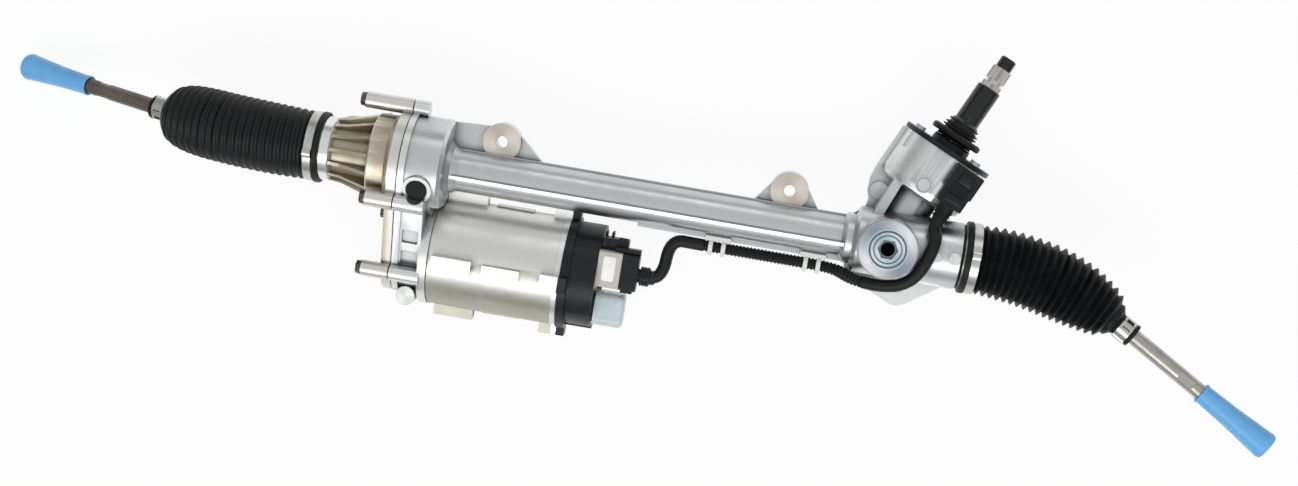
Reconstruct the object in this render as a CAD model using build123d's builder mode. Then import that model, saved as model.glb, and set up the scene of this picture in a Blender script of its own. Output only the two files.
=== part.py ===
"""Electric power steering rack: rack and pinion with a belt-driven ball nut beside it.

Frame, millimetres: X runs along the rack bar, Y points to the steering-column side, Z points away
from the subframe. The origin lies on the subframe seat face, midway between the two upper ears.
The part is modelled at straight-ahead, with its tie rods hanging as they do off the car.
"""
import os
from math import acos, asin, atan2, cos, degrees, hypot, pi, radians, sin, tan

from build123d import *

# ---- driving dimensions (mm, degrees) ------------------------------------------------------------
running_gap = 0.06          # radial clearance of a bearing or sliding fit
near_gap = 0.3              # clearance of parts that only lie near each other

# mounting ears
ear_span = 272.0            # between the two upper bolts
ear_rise = 33.0             # upper bolts above the rack bar
ear_depth = 14.0            # length of an ear along its bolt
ear_r = 18.0
ear_web_back, ear_web_front = -13.0, -5.0     # webs of the ears, in front of the rack bar
ear_seat_to_rack = 15.0     # rack bar in front of the seat face
lug_x, lug_drop = 249.0, 38.0   # lower mounting lug, from the origin and below the rack bar
lug_r, lug_depth = 16.5, 22.0
bush_r, bush_bore_r = 9.0, 5.6

# rack bar and its housing tube
rack_r = 13.0
rack_bore_r = 15.0
tube_r = 19.5
tube_rim, tube_rim_thick = 1.6, 3.0   # parting rim along the tube's upper edge
ridge_up, ridge_out = -4.4, 19.4      # bead along the tube's front
ridge_thick, ridge_depth = 3.4, 5.6
travel = 72.0               # rack travel each way
ball_reach = 391.0          # inner ball joint centres from the middle
left_end, right_end = -314.0, 317.0   # ends of the boot seats
boot_seat_r = 28.6
boot_seat_length = 15.0
collar_r = 31.0             # bearing end on the pinion side
collar_start = 204.0
socket_pocket_r = 22.5      # bore that a joint socket enters at full lock
bump_stop_thick = 5.5
bump_gap = 0.5              # left at full travel

# belt drive: ball nut on the rack, motor beside it
motor_drop, motor_back = 82.0, 30.0   # motor axis below and behind the rack bar
belt_pitch = 5.0
large_teeth, small_teeth = 45, 18
pulley_width = 19.0
belt_thick = 1.8
tooth_depth = 1.6
screw_lead = 7.0            # rack travel for one turn of the ball nut
pulley_mid_x = -211.5
seam_x = -220.0             # joint between gear cover and housing
gasket_thick = 1.2
drum_r, drum_bore_r = 46.0, 41.0
lobe_r, lobe_bore_r = 43.0, 36.0
drum_right, case_right = -181.0, -194.0
case_floor = 4.0            # wall behind the small pulley

# gear cover
cover_drum_r = 41.5
cover_drum_left = -252.0
cover_cone_left = -291.0
cover_plate = 9.0
cover_collar_r = 30.2
nut_bearing_r, nut_bearing_width = 36.0, 17.0
cover_ribs = 14
cover_bolt_r, cover_boss_r = 4.0, 7.6

# motor and controller
motor_r = 52.5
motor_ring_depth = 8.0
motor_flange_depth = 28.0
motor_can_length = 92.0
ecu_plate_thick = 5.0
ecu_depth = 33.0
lug_count = 4

# pinion and steering input
pinion_x = 231.5            # where the pinion crosses the rack bar
pinion_tilt = 24.0          # from square to the rack bar
pinion_teeth, gear_module, pressure = 8, 1.8, 30.0
addendum, dedendum = 1.6, 1.9
backlash = 0.14             # thinning of each pinion tooth, both flanks together
rack_pitch_depth = 9.5      # pitch plane behind the rack centre
rack_teeth = 28
tower_r, tower_start, tower_end = 43.0, 53.0, 100.5
tower_bore_r = 25.0
sensor_cover_r, sensor_cover_thick = 44.5, 4.6
shaft_r = 8.8
sleeve_r, sleeve_start, sleeve_end = 11.6, 128.0, 171.0
spline_end, tip_end = 192.0, 203.0

# yoke
yoke_r = 17.6
yoke_boss_r, yoke_boss_front = 27.8, 40.0
yoke_ring_r, yoke_ring_front = 26.6, 44.0
yoke_plug_r = 18.9

# inner ball joints and tie rods
ball_r = 12.0
seat_wall = 2.4
socket_r, socket_back, socket_mouth = 17.5, 30.0, 6.5
stud_r, stud_length = 7.0, 24.0
rod_r, rod_neck_r = 7.35, 5.6
clamp_place = 80.0          # small boot clamp from the ball centre
rod_end, thread_start = 226.0, 182.0
cap_start, cap_end = 168.0, 243.0
left_steer, left_bump = 5.3, -17.3    # resting angles of the rods
right_steer, right_bump = -29.9, 9.0
boot_r, boot_wall = 32.6, 2.5
boot_cuff_r = 10.6          # small end, on the tie rod

# sensor connector in the tower's side pocket, and its cable
connector_across, connector_width = 24.0, 28.0
connector_low, connector_high = 62.0, 99.0
pocket_floor, connector_front = 27.0, 51.0      # in front of the pinion axis
nozzle_front, nozzle_r, nozzle_end = 44.0, 7.2, 56.0
cable_r = 5.8

# ---- derived sizes -------------------------------------------------------------------------------
rack_y, rack_z = -ear_rise, ear_seat_to_rack
motor_y, motor_z = rack_y - motor_drop, rack_z - motor_back
pinion_pitch_r = gear_module * pinion_teeth / 2
pinion_back = rack_pitch_depth + pinion_pitch_r
pinion_tip_r = pinion_pitch_r + addendum
pinion_root_r = pinion_pitch_r - dedendum
large_r = belt_pitch * large_teeth / (2 * pi)
small_r = belt_pitch * small_teeth / (2 * pi)
seat_r = ball_r + seat_wall
motor_left = case_right
flange_left = motor_left + motor_ring_depth
motor_can_left = flange_left + motor_flange_depth
motor_can_right = motor_can_left + motor_can_length
ecu_left = motor_can_right + ecu_plate_thick
ecu_right = ecu_left + ecu_depth
stop_face = ball_reach - socket_back - travel - bump_gap
stop_back = stop_face - bump_stop_thick

along_rack = Plane(origin=(0, rack_y, rack_z))
along_motor = Plane(origin=(0, motor_y, motor_z))
rack_line = Axis((0, rack_y, rack_z), (1, 0, 0))
motor_line = Axis((0, motor_y, motor_z), (1, 0, 0))
pinion_along = (sin(radians(pinion_tilt)), cos(radians(pinion_tilt)), 0)
pinion_across = (cos(radians(pinion_tilt)), -sin(radians(pinion_tilt)), 0)
pinion_origin = (pinion_x, rack_y, rack_z - pinion_back)
along_pinion = Plane(origin=pinion_origin, x_dir=pinion_across, z_dir=(0, 0, 1))
pinion_line = Axis(pinion_origin, pinion_along)
# slanted front of the belt case; its own y runs up the slope
case_span = hypot(motor_drop, motor_back)
case_lean = atan2(motor_back, motor_drop) + asin((drum_r - 1 - lobe_r) / case_span)
case_normal = (0, -sin(case_lean), cos(case_lean))
case_front = Plane(origin=(0, rack_y + case_normal[1] * (drum_r - 1), rack_z + case_normal[2] * (drum_r - 1)),
                   x_dir=(1, 0, 0), z_dir=case_normal)
low = (Align.CENTER, Align.CENTER, Align.MIN)


# ---- helpers -------------------------------------------------------------------------------------
def on_rack(x):
    """Plane square to the rack bar at x; its own x is +Y and its own y is +Z."""
    return Plane(origin=(x, rack_y, rack_z), x_dir=(0, 1, 0), z_dir=(1, 0, 0))


def on_motor(x):
    """The same plane, centred on the motor axis."""
    return Plane(origin=(x, motor_y, motor_z), x_dir=(0, 1, 0), z_dir=(1, 0, 0))


def on_pinion(distance):
    """Plane square to the pinion; its own x is +Z and its own y points to the right of the shaft."""
    origin = Vector(pinion_origin) + Vector(pinion_along) * distance
    return Plane(origin=origin, x_dir=(0, 0, 1), z_dir=pinion_along)


def facing(height):
    """Plane facing away from the subframe, centred on the rack bar at a height in front of it."""
    return Plane(origin=(0, rack_y, rack_z + height))


def lathe(outline, section, line, mode=Mode.ADD):
    """Turn a closed outline in a section plane about a line, into the open part."""
    with BuildSketch(section) as profile:
        with BuildLine():
            Polyline(*outline, close=True)
        make_face()
    revolve(profile.sketch, axis=line, mode=mode)


def ring(plane, outer, inner, depth, mode=Mode.ADD):
    """Extrude a ring, or a disc where inner is 0, from a plane along its normal."""
    with BuildSketch(plane) as profile:
        Circle(outer)
        if inner:
            Circle(inner, mode=Mode.SUBTRACT)
    extrude(profile.sketch, amount=depth, mode=mode)


def slab(plane, outline, depth, mode=Mode.ADD):
    """Extrude a closed straight-sided outline from a plane along its normal."""
    with BuildSketch(plane) as profile:
        with BuildLine():
            Polyline(*outline, close=True)
        make_face()
    extrude(profile.sketch, amount=depth, mode=mode)


def belt_outline(plane, around_rack, around_motor):
    """Outline of the belt case: a tangent hull about the rack and motor axes."""
    with BuildSketch(plane) as outline:
        Circle(around_rack)
        with Locations((-motor_drop, -motor_back)):
            Circle(around_motor)
        make_hull()
    return outline.sketch


def at_plug(out):
    """Plane facing out of the drum at its service hole, at a distance from the rack bar."""
    origin = Vector(plug_x, rack_y, rack_z) + Vector(plug_dir) * out
    return Plane(origin=origin, x_dir=(1, 0, 0), z_dir=plug_dir)


def at_dial(out):
    """Plane facing out of the tower at its round mark, at a distance from the pinion axis."""
    turn = radians(dial_turn)
    outward = Vector(pinion_across) * -sin(turn) + Vector(0, 0, cos(turn))
    middle = Vector(pinion_origin) + Vector(pinion_along) * dial_along
    return Plane(origin=middle + outward * out, x_dir=pinion_along, z_dir=outward)


def save(piece, name):
    """Label a finished piece and write it to the parts folder."""
    piece.part.label = name
    export_step(piece.part, f"parts/{name}.step")


os.makedirs("parts", exist_ok=True)

# ---- places shared by several pieces -------------------------------------------------------------
# cover bolts as (above the rack, in front of the rack) round the belt case
cover_bolt_places = [(52.0, 4.0), (-34.0, 41.5), (-104.0, 14.0), (16.0, -50.0), (-60.0, -66.0), (-118.0, -62.0)]
cover_boss_ends = [-266.0, -247.0, -247.0, -247.0, -247.0, -247.0]
# screws of the sensor cover, as angles round the pinion from its front
sensor_screw_turns = [-62.0, 40.0, 170.0]
sensor_screw_ring = 38.5
ear_places = [(-ear_span / 2, 0), (ear_span / 2, 0)]
lug_place = (lug_x, -ear_rise - lug_drop)
cable_rib_left, cable_rib_bottom = 2.0, 22.4     # left end and lower edge of the tube's rib
cable_rib_thick, rib_middle = 6.0, 3.0
ridge_turn = degrees(atan2(-ridge_up, ridge_out))
# web of the tower as (along the rack, above the rack), with its round pad
web_thick, web_pad, web_pad_r = 7.0, (217.4, 47.0), 8.2
web_outline = [(229.5, 110), (212, 71), (207.6, 57), (207.2, 45), (209.4, 38), (208.6, 31.5), (204.5, 25),
               (196, 20), (190, 14), (190, 2), (262, 2), (266, 50), (262, 96)]
# round cast marks: ring on the tower, pads on the collar, foot of the belt case
dial_along, dial_turn, dial_r = 65.7, 6.0, 7.8
collar_pads = [(293.5, 0.6, 5.4), (277.0, -1.0, 4.4)]
foot_place = (-206.0, -127.5)
# windows of the belt case, along its slanted front from the rack bar's foot point
window_x, window_width, window_depth = -204.6, 15.0, 2.4
windows = [(-61.0, -47.0), (-85.4, -69.0)]
# service hole of the drum, turned down from the front
plug_x, plug_r, plug_turn = -201.0, 10.0, 24.0
plug_dir = (0, -sin(radians(plug_turn)), cos(radians(plug_turn)))

# ---- rack housing --------------------------------------------------------------------------------
# One die casting: drum and belt case, tube, pinion housing, yoke boss, sensor tower and ears.
with BuildPart() as rack_housing:
    lathe([(seam_x, 0), (seam_x, drum_r), (drum_right - 3, drum_r), (drum_right, drum_r - 3),
           (drum_right, 27), (drum_right + 4, 22.5), (drum_right + 10, tube_r), (collar_start - 14, tube_r),
           (collar_start - 10, 24), (collar_start - 4, 24), (collar_start, collar_r),
           (right_end - boot_seat_length - 3, collar_r), (right_end - boot_seat_length, boot_seat_r),
           (right_end, boot_seat_r), (right_end, 0)], along_rack, rack_line)
    extrude(belt_outline(on_rack(seam_x), drum_r - 1, lobe_r), amount=case_right - seam_x)
    extrude(belt_outline(on_rack(seam_x), drum_r + 2, lobe_r + 3), amount=6)
    ring(on_motor(motor_left), motor_r, 0, motor_ring_depth)
    # bosses for the cover bolts, reaching back to the motor ring
    with BuildSketch(on_rack(seam_x)):
        with Locations(cover_bolt_places[0], cover_bolt_places[3]):
            Circle(cover_boss_r)
    extrude(amount=14)
    with BuildSketch(on_rack(seam_x)):
        with Locations(cover_bolt_places[1], cover_bolt_places[2], cover_bolt_places[4], cover_bolt_places[5]):
            Circle(cover_boss_r)
    extrude(amount=case_right - seam_x + 2)
    # parting rim and bead of the tube, and the rib that carries the cable
    with BuildSketch(on_rack(drum_right)):
        with Locations((tube_r - 2, 0)):
            Rectangle(2 * tube_rim + 4, tube_rim_thick)
        with Locations(Location((ridge_up, ridge_out), ridge_turn)):
            Rectangle(ridge_thick, ridge_depth)
    extrude(amount=collar_start - drum_right)
    with BuildSketch(on_rack(cable_rib_left)):
        with Locations((-cable_rib_bottom / 2 - 4, rib_middle)):
            Rectangle(cable_rib_bottom - 8, cable_rib_thick)
    extrude(amount=collar_start - cable_rib_left)
    # upper ears with their webs
    with BuildSketch():
        with Locations(*ear_places):
            Circle(ear_r)
    extrude(amount=ear_depth)
    slab(facing(ear_web_back), [(-186, 44), (-ear_span / 2 - 8, 46), (-ear_span / 2 + 12, 45),
                                (-ear_span / 2 + 43, 17), (-ear_span / 2 + 30, 10), (-186, 10)],
         ear_web_front - ear_web_back)
    slab(facing(ear_web_back), [(ear_span / 2 - 33, 17), (ear_span / 2 - 12, 45), (ear_span / 2 + 12, 45),
                                (ear_span / 2 + 31, 17), (ear_span / 2, 5)], ear_web_front - ear_web_back)
    # lower mounting lug
    with BuildSketch(Plane.XY):
        with Locations(lug_place, (lug_x - 36, -ear_rise - 22), (lug_x + 28, -ear_rise - 18)):
            Circle(lug_r)
        make_hull()
    extrude(amount=lug_depth)
    # yoke boss with its machined ring
    with BuildSketch(facing(0)):
        with Locations((pinion_x, 0)):
            Circle(yoke_boss_r)
    extrude(amount=yoke_boss_front)
    with BuildSketch(facing(yoke_boss_front)):
        with Locations((pinion_x, 0)):
            Circle(yoke_ring_r)
    extrude(amount=yoke_ring_front - yoke_boss_front)
    # pinion housing and sensor tower
    lathe([(0, -44), (15, -44), (18, -41), (22, -30), (22, tower_start), (tower_r - 9, tower_start),
           (tower_r - 2, tower_start + 3), (tower_r, tower_start + 9), (tower_r, tower_end), (0, tower_end)],
          along_pinion, pinion_line)
    # web between tower and tube, and the two ribs beside the pinion housing
    slab(facing(-web_thick - 12), web_outline, web_thick)
    with BuildSketch(along_pinion):
        with Locations(Location((-23, 34), 3)):
            Rectangle(8.5, 52)
        with Locations(Location((27.5, 32), -2)):
            Rectangle(6, 46)
    extrude(amount=pinion_back + 14)
    # round pads: web, dial ring, collar, foot of the belt case
    with BuildSketch(facing(-web_thick - 14)):
        with Locations(web_pad):
            Circle(web_pad_r)
    extrude(amount=web_thick + 4)
    ring(at_dial(tower_r - 4), dial_r, 0, 4.6)
    ring(at_dial(tower_r + 0.1), dial_r - 0.9, dial_r - 2.1, 0.5, Mode.SUBTRACT)
    for pad_x, pad_up, pad_r in collar_pads:
        with BuildSketch(facing(collar_r - 3)):
            with Locations((pad_x, pad_up)):
                Circle(pad_r)
        extrude(amount=3.5)
    with BuildSketch(facing(-32)):
        with Locations(foot_place):
            Circle(9.2)
    extrude(amount=27)
    slab(facing(-30), [(foot_place[0] + 4, foot_place[1] + 9), (motor_left, foot_place[1] + 6),
                       (foot_place[0] + 4, foot_place[1] - 7)], 17)
    # raised rim round the service hole
    ring(at_plug(drum_r - 6), plug_r + 3.6, 0, 8)
    with BuildSketch(on_pinion(0)) as screw_bosses:
        for turn in sensor_screw_turns:
            with Locations((sensor_screw_ring * cos(radians(turn)), sensor_screw_ring * sin(radians(turn)))):
                Circle(6.5)
    extrude(screw_bosses.sketch.moved(Location(Vector(pinion_along) * (tower_end - 16))), amount=16)

    # bores: rack, socket pocket, belt case, motor pilot
    ring(on_rack(seam_x), rack_bore_r, 0, right_end - seam_x, Mode.SUBTRACT)
    ring(on_rack(stop_back), socket_pocket_r, 0, right_end - stop_back, Mode.SUBTRACT)
    ring(on_rack(seam_x), drum_bore_r, 0, drum_right - 9 - seam_x, Mode.SUBTRACT)
    extrude(belt_outline(on_rack(seam_x), drum_bore_r - 1, lobe_bore_r), amount=case_right - case_floor - seam_x,
            mode=Mode.SUBTRACT)
    ring(on_motor(seam_x), 30, 0, flange_left - seam_x, Mode.SUBTRACT)
    ring(on_motor(flange_left), motor_r + 1, 0, 14, Mode.SUBTRACT)
    # the drum stops short above the motor, and two shallow windows lie in the belt case's front
    with BuildSketch(on_rack(drum_right - 8)):
        with Locations((-47.5, 22)):
            Rectangle(25, 56)
        with Locations((motor_y - rack_y, motor_z - rack_z)):
            Circle(motor_r, mode=Mode.SUBTRACT)
    extrude(amount=12, mode=Mode.SUBTRACT)
    with BuildSketch(case_front):
        for window_low, window_high in windows:
            with Locations((window_x, (window_low + window_high) / 2)):
                RectangleRounded(window_width, window_high - window_low, 1.5)
    extrude(amount=-window_depth, mode=Mode.SUBTRACT)
    ring(at_plug(30), plug_r, 0, 30, Mode.SUBTRACT)
    # yoke bore, pinion bore with its bearing seats, sensor chamber
    with BuildSketch(facing(0)):
        with Locations((pinion_x, 0)):
            Circle(yoke_r + running_gap)
    extrude(amount=30, mode=Mode.SUBTRACT)
    with BuildSketch(facing(30)):
        with Locations((pinion_x, 0)):
            Circle(yoke_plug_r)
    extrude(amount=yoke_ring_front - 30, mode=Mode.SUBTRACT)
    lathe([(0, -47), (11.5, -47), (11.5, -22), (10.4, -22), (10.4, 24), (16, 24), (16, 40), (12.5, 40),
           (12.5, 58), (tower_bore_r, 58), (tower_bore_r, tower_end), (0, tower_end)],
          along_pinion, pinion_line, Mode.SUBTRACT)
    # pocket of the sensor connector, open at the front and below
    with BuildSketch(on_pinion(nozzle_end)):
        with Locations((pocket_floor + tower_r / 2, connector_across)):
            Rectangle(tower_r, connector_width + 2 * near_gap)
    extrude(amount=tower_end - nozzle_end, mode=Mode.SUBTRACT)
    # bolt holes
    with BuildSketch():
        with Locations(*ear_places):
            Circle(bush_r)
    extrude(amount=ear_depth, mode=Mode.SUBTRACT)
    with BuildSketch():
        with Locations(lug_place):
            Circle(bush_bore_r)
    extrude(amount=lug_depth, mode=Mode.SUBTRACT)
    with BuildSketch(on_rack(seam_x)):
        with Locations(*cover_bolt_places):
            Circle(cover_bolt_r)
    extrude(amount=12, mode=Mode.SUBTRACT)
save(rack_housing, "rack_housing")

# ---- gear cover ----------------------------------------------------------------------------------
# Cast cover over the belt: boot collar, ribbed cone, bearing drum and bolted belt plate.
cover_seam = seam_x - gasket_thick
with BuildPart() as gear_cover:
    lathe([(left_end, 0), (left_end, boot_seat_r), (left_end + boot_seat_length, boot_seat_r),
           (left_end + boot_seat_length, cover_collar_r), (cover_cone_left, cover_collar_r),
           (cover_cone_left + 4, 27), (cover_drum_left, 29), (cover_drum_left, cover_drum_r - 1.5),
           (cover_drum_left + 1.5, cover_drum_r), (cover_drum_left + 17, cover_drum_r),
           (cover_drum_left + 21, drum_r - 1), (cover_seam, drum_r - 1), (cover_seam, 0)],
          along_rack, rack_line)
    extrude(belt_outline(on_rack(cover_seam), drum_r + 1, lobe_r + 2), amount=-cover_plate)
    # ribs of the cone, from the collar out to the drum
    with BuildSketch(along_rack) as rib:
        with BuildLine():
            Polyline((cover_cone_left + 1, 20), (cover_cone_left + 1, cover_collar_r - 0.6),
                     (cover_cone_left + 12, cover_collar_r + 0.5), (cover_drum_left + 1, cover_drum_r - 2.5),
                     (cover_drum_left + 1, 20), close=True)
        make_face()
    for turn in range(cover_ribs):
        extrude(rib.sketch.rotate(rack_line, 360 / cover_ribs * (turn + 0.3)), amount=1.7, both=True)
    for place, boss_end in zip(cover_bolt_places, cover_boss_ends):
        with BuildSketch(on_rack(cover_seam)):
            with Locations(place):
                Circle(cover_boss_r)
        extrude(amount=boss_end - cover_seam)
    # rack bore, socket pocket, bearing seat, belt recess
    ring(on_rack(left_end), rack_bore_r, 0, cover_seam - left_end, Mode.SUBTRACT)
    ring(on_rack(left_end), socket_pocket_r, 0, -stop_back - left_end, Mode.SUBTRACT)
    ring(on_rack(cover_drum_left + 4), nut_bearing_r + running_gap, 0, cover_seam - cover_drum_left - 4,
         Mode.SUBTRACT)
    extrude(belt_outline(on_rack(cover_seam), drum_bore_r - 1, lobe_bore_r), amount=-cover_plate + 4,
            mode=Mode.SUBTRACT)
    # clearance holes for the cover bolts, with their head seats
    for place, boss_end in zip(cover_bolt_places, cover_boss_ends):
        with BuildSketch(on_rack(cover_seam)):
            with Locations(place):
                Circle(cover_bolt_r + 0.3)
        extrude(amount=boss_end - cover_seam, mode=Mode.SUBTRACT)
save(gear_cover, "gear_cover")

with BuildPart() as cover_gasket:
    extrude(belt_outline(on_rack(cover_seam), drum_r + 0.6, lobe_r + 1.6), amount=gasket_thick)
    extrude(belt_outline(on_rack(cover_seam), drum_bore_r, lobe_bore_r + 1), amount=gasket_thick,
            mode=Mode.SUBTRACT)
    with BuildSketch(on_rack(cover_seam)):
        with Locations(*cover_bolt_places):
            Circle(cover_bolt_r + 0.3)
    extrude(amount=gasket_thick, mode=Mode.SUBTRACT)
save(cover_gasket, "cover_gasket")

# hexagon-flange bolts of the cover, one solid each
with BuildPart() as cover_bolts:
    for place, boss_end in zip(cover_bolt_places, cover_boss_ends):
        with BuildSketch(on_rack(boss_end)):
            with Locations(place):
                Circle(cover_bolt_r - 0.05)
        extrude(amount=seam_x + 11 - boss_end)
        with BuildSketch(on_rack(boss_end)):
            with Locations(place):
                Circle(cover_boss_r - 0.6)
        extrude(amount=-1.2)
        with BuildSketch(on_rack(boss_end - 1.2)):
            with Locations(place):
                RegularPolygon(6.2, 6)
        extrude(amount=-4)
save(cover_bolts, "cover_bolts")

# rubber plug in the drum's service hole
with BuildPart() as access_plug:
    ring(at_plug(drum_bore_r + 0.5), plug_r, 0, drum_r + 3.2 - drum_bore_r)
    fillet(access_plug.edges().sort_by(Axis(at_plug(0).origin, plug_dir))[-1], 1.2)
save(access_plug, "access_plug")

# ---- motor ---------------------------------------------------------------------------------------
motor_lug_reach = 9.0       # bolt lugs stand this far out of the motor
motor_lug_width = 15.0
flange_lug_start, can_lug_length, rear_lug_length = 5.4, 15.0, 12.0
motor_bolt_ring = motor_r + 2.5
lug_turns = [turn * 360 / lug_count + 4 for turn in range(lug_count)]


def motor_lugs(start, length):
    """Flat-topped bolt lugs round the motor, from a place along it."""
    for turn in lug_turns:
        with BuildSketch(on_motor(start)) as lug:
            with Locations(Location((0, 0), turn)):
                with Locations((motor_r + motor_lug_reach / 2 - 3, 0)):
                    Rectangle(motor_lug_reach + 6, motor_lug_width)
        extrude(lug.sketch, amount=length)


def motor_bolt_circle(start):
    """Holes for the through bolts of the motor."""
    with BuildSketch(on_motor(start)) as holes:
        for turn in lug_turns:
            with Locations((motor_bolt_ring * cos(radians(turn)), motor_bolt_ring * sin(radians(turn)))):
                Circle(motor_bolt_r + 0.2)
    return holes.sketch


motor_bolt_r = 2.6
shaft_hole_r = 8.0
bearing_outer, bearing_bore, bearing_width = 15.0, 6.0, 10.0
with BuildPart() as motor_flange:
    ring(on_motor(flange_left), motor_r - 0.8, 0, motor_flange_depth)
    chamfer(motor_flange.edges().sort_by(Axis.X)[0], 1)
    ring(on_motor(flange_left), 30 - running_gap, 0, -6)
    motor_lugs(flange_left + flange_lug_start, motor_flange_depth - flange_lug_start)
    ring(on_motor(flange_left - 6), shaft_hole_r, 0, motor_flange_depth + 6, Mode.SUBTRACT)
    ring(on_motor(flange_left + 4), bearing_outer, 0, motor_flange_depth - 4, Mode.SUBTRACT)
    ring(on_motor(flange_left + 4 + bearing_width), 42, 0, motor_flange_depth - bearing_width - 4, Mode.SUBTRACT)
    extrude(motor_bolt_circle(flange_left), amount=motor_flange_depth, mode=Mode.SUBTRACT)
save(motor_flange, "motor_flange")

can_wall = 4.0
with BuildPart() as motor_can:
    ring(on_motor(motor_can_left), motor_r - 0.5, motor_r - can_wall, motor_can_length)
    motor_lugs(motor_can_left, can_lug_length)
    motor_lugs(motor_can_right - rear_lug_length, rear_lug_length)
    ring(on_motor(motor_can_right), motor_r - 2, 0, -can_wall)
    # shallow cast pads between the lugs
    for turn in lug_turns:
        with BuildSketch(on_motor(motor_can_left + 24)) as pad:
            with Locations(Location((0, 0), turn)):
                with Locations((motor_r - 2, 0)):
                    Rectangle(6, 9)
        extrude(pad.sketch, amount=36)
    ring(on_motor(motor_can_left), motor_r - can_wall, 0, motor_can_length - can_wall, Mode.SUBTRACT)
    ring(on_motor(motor_can_right - can_wall), bearing_outer, 0, can_wall, Mode.SUBTRACT)
    extrude(motor_bolt_circle(motor_can_left), amount=can_lug_length, mode=Mode.SUBTRACT)
    extrude(motor_bolt_circle(motor_can_right - rear_lug_length), amount=rear_lug_length, mode=Mode.SUBTRACT)
save(motor_can, "motor_can")

with BuildPart() as motor_bolts:
    for turn in lug_turns:
        place = (motor_bolt_ring * cos(radians(turn)), motor_bolt_ring * sin(radians(turn)))
        with BuildSketch(on_motor(flange_left + flange_lug_start)):
            with Locations(place):
                Circle(motor_bolt_r)
        extrude(amount=motor_flange_depth + 4)
save(motor_bolts, "motor_bolts")

stator_bore_r = 27.0
stator_left, stator_length = motor_can_left + 8, 62.0
with BuildPart() as motor_stator:
    ring(on_motor(stator_left), motor_r - can_wall - running_gap, stator_bore_r, stator_length)
    with BuildSketch(on_motor(stator_left)):
        for slot in range(12):
            with Locations(Location((0, 0), slot * 30)):
                with Locations((stator_bore_r + 8, 0)):
                    Rectangle(17, 5)
    extrude(amount=stator_length, mode=Mode.SUBTRACT)
save(motor_stator, "motor_stator")

with BuildPart() as motor_bearings:
    ring(on_motor(flange_left + 4), bearing_outer - running_gap, bearing_bore + running_gap, bearing_width)
    ring(on_motor(motor_can_right - can_wall), bearing_outer - running_gap, bearing_bore + running_gap, can_wall)
save(motor_bearings, "motor_bearings")

pulley_left, pulley_right = pulley_mid_x - pulley_width / 2, pulley_mid_x + pulley_width / 2
with BuildPart() as motor_shaft:
    ring(on_motor(pulley_left - 1), bearing_bore, 0, motor_can_right - pulley_left)
    chamfer(motor_shaft.edges().sort_by(Axis.X)[0], 0.8)
save(motor_shaft, "motor_shaft")

with BuildPart() as rotor:
    ring(on_motor(stator_left + 2), stator_bore_r - 1, bearing_bore, stator_length - 4)
    with BuildSketch(on_motor(stator_left + 2)):
        for magnet in range(8):
            with Locations(Location((0, 0), magnet * 45)):
                with Locations((stator_bore_r, 0)):
                    Rectangle(3, 3)
    extrude(amount=stator_length - 4, mode=Mode.SUBTRACT)
save(rotor, "rotor")


def pulley(plane, teeth, pitch_r, bore):
    """Toothed pulley: a disc with one trapezoid groove for each tooth of the belt."""
    tip = pitch_r - 0.5
    ring(plane, tip, bore, pulley_width)
    with BuildSketch(plane) as grooves:
        for tooth in range(teeth):
            with Locations(Location((0, 0), 360 / teeth * tooth)):
                with Locations((tip - tooth_depth / 2 + 0.2, 0)):
                    Rectangle(tooth_depth + 0.4, belt_pitch * 0.48)
    extrude(grooves.sketch, amount=pulley_width, mode=Mode.SUBTRACT)


with BuildPart() as motor_pulley:
    pulley(on_motor(pulley_left), small_teeth, small_r, bearing_bore)
save(motor_pulley, "motor_pulley")

nut_r, nut_left, nut_right = 22.0, cover_drum_left + 4.6, -192.0
with BuildPart() as large_pulley:
    pulley(on_rack(pulley_left), large_teeth, large_r, nut_r)
save(large_pulley, "large_pulley")

with BuildPart() as ball_nut:
    ring(on_rack(nut_left), nut_r, rack_r + running_gap, nut_right - nut_left)
    chamfer(ball_nut.edges().group_by(Axis.X)[0].sort_by(SortBy.RADIUS)[-1], 1)
save(ball_nut, "ball_nut")

with BuildPart() as ball_nut_bearing:
    ring(on_rack(cover_drum_left + 4), nut_bearing_r, 30, nut_bearing_width)
    ring(on_rack(cover_drum_left + 4), 28, nut_r + running_gap, nut_bearing_width)
    ring(on_rack(cover_drum_left + 4 + nut_bearing_width / 2 - 3), 30, 28, 6)
save(ball_nut_bearing, "ball_nut_bearing")

with BuildPart() as bearing_retainer:
    ring(on_rack(cover_drum_left + 4 + nut_bearing_width), nut_bearing_r, 26, 4)
save(bearing_retainer, "bearing_retainer")

# endless belt round both pulleys, lying just outside their teeth
belt_lift = -0.5 + 0.15
with BuildPart() as drive_belt:
    belt_plane = on_rack(pulley_left + 1)
    extrude(belt_outline(belt_plane, large_r + belt_lift + belt_thick, small_r + belt_lift + belt_thick),
            amount=pulley_width - 2)
    extrude(belt_outline(belt_plane, large_r + belt_lift, small_r + belt_lift),
            amount=pulley_width - 2, mode=Mode.SUBTRACT)
save(drive_belt, "drive_belt")

# ---- motor controller ----------------------------------------------------------------------------
ecu_r = motor_r - 2.0
ecu_rim_r, ecu_rim_depth = motor_r + 1.5, 8.0
ecu_wall = 2.6
ecu_ledge = -0.62 * ecu_r   # the lower part of the cover steps back here


with BuildPart() as ecu_plate:
    ring(on_motor(motor_can_right), motor_r + 0.5, 0, ecu_plate_thick)
    motor_lugs(motor_can_right, ecu_plate_thick)
    extrude(motor_bolt_circle(motor_can_right), amount=ecu_plate_thick, mode=Mode.SUBTRACT)
save(ecu_plate, "ecu_plate")

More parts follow.
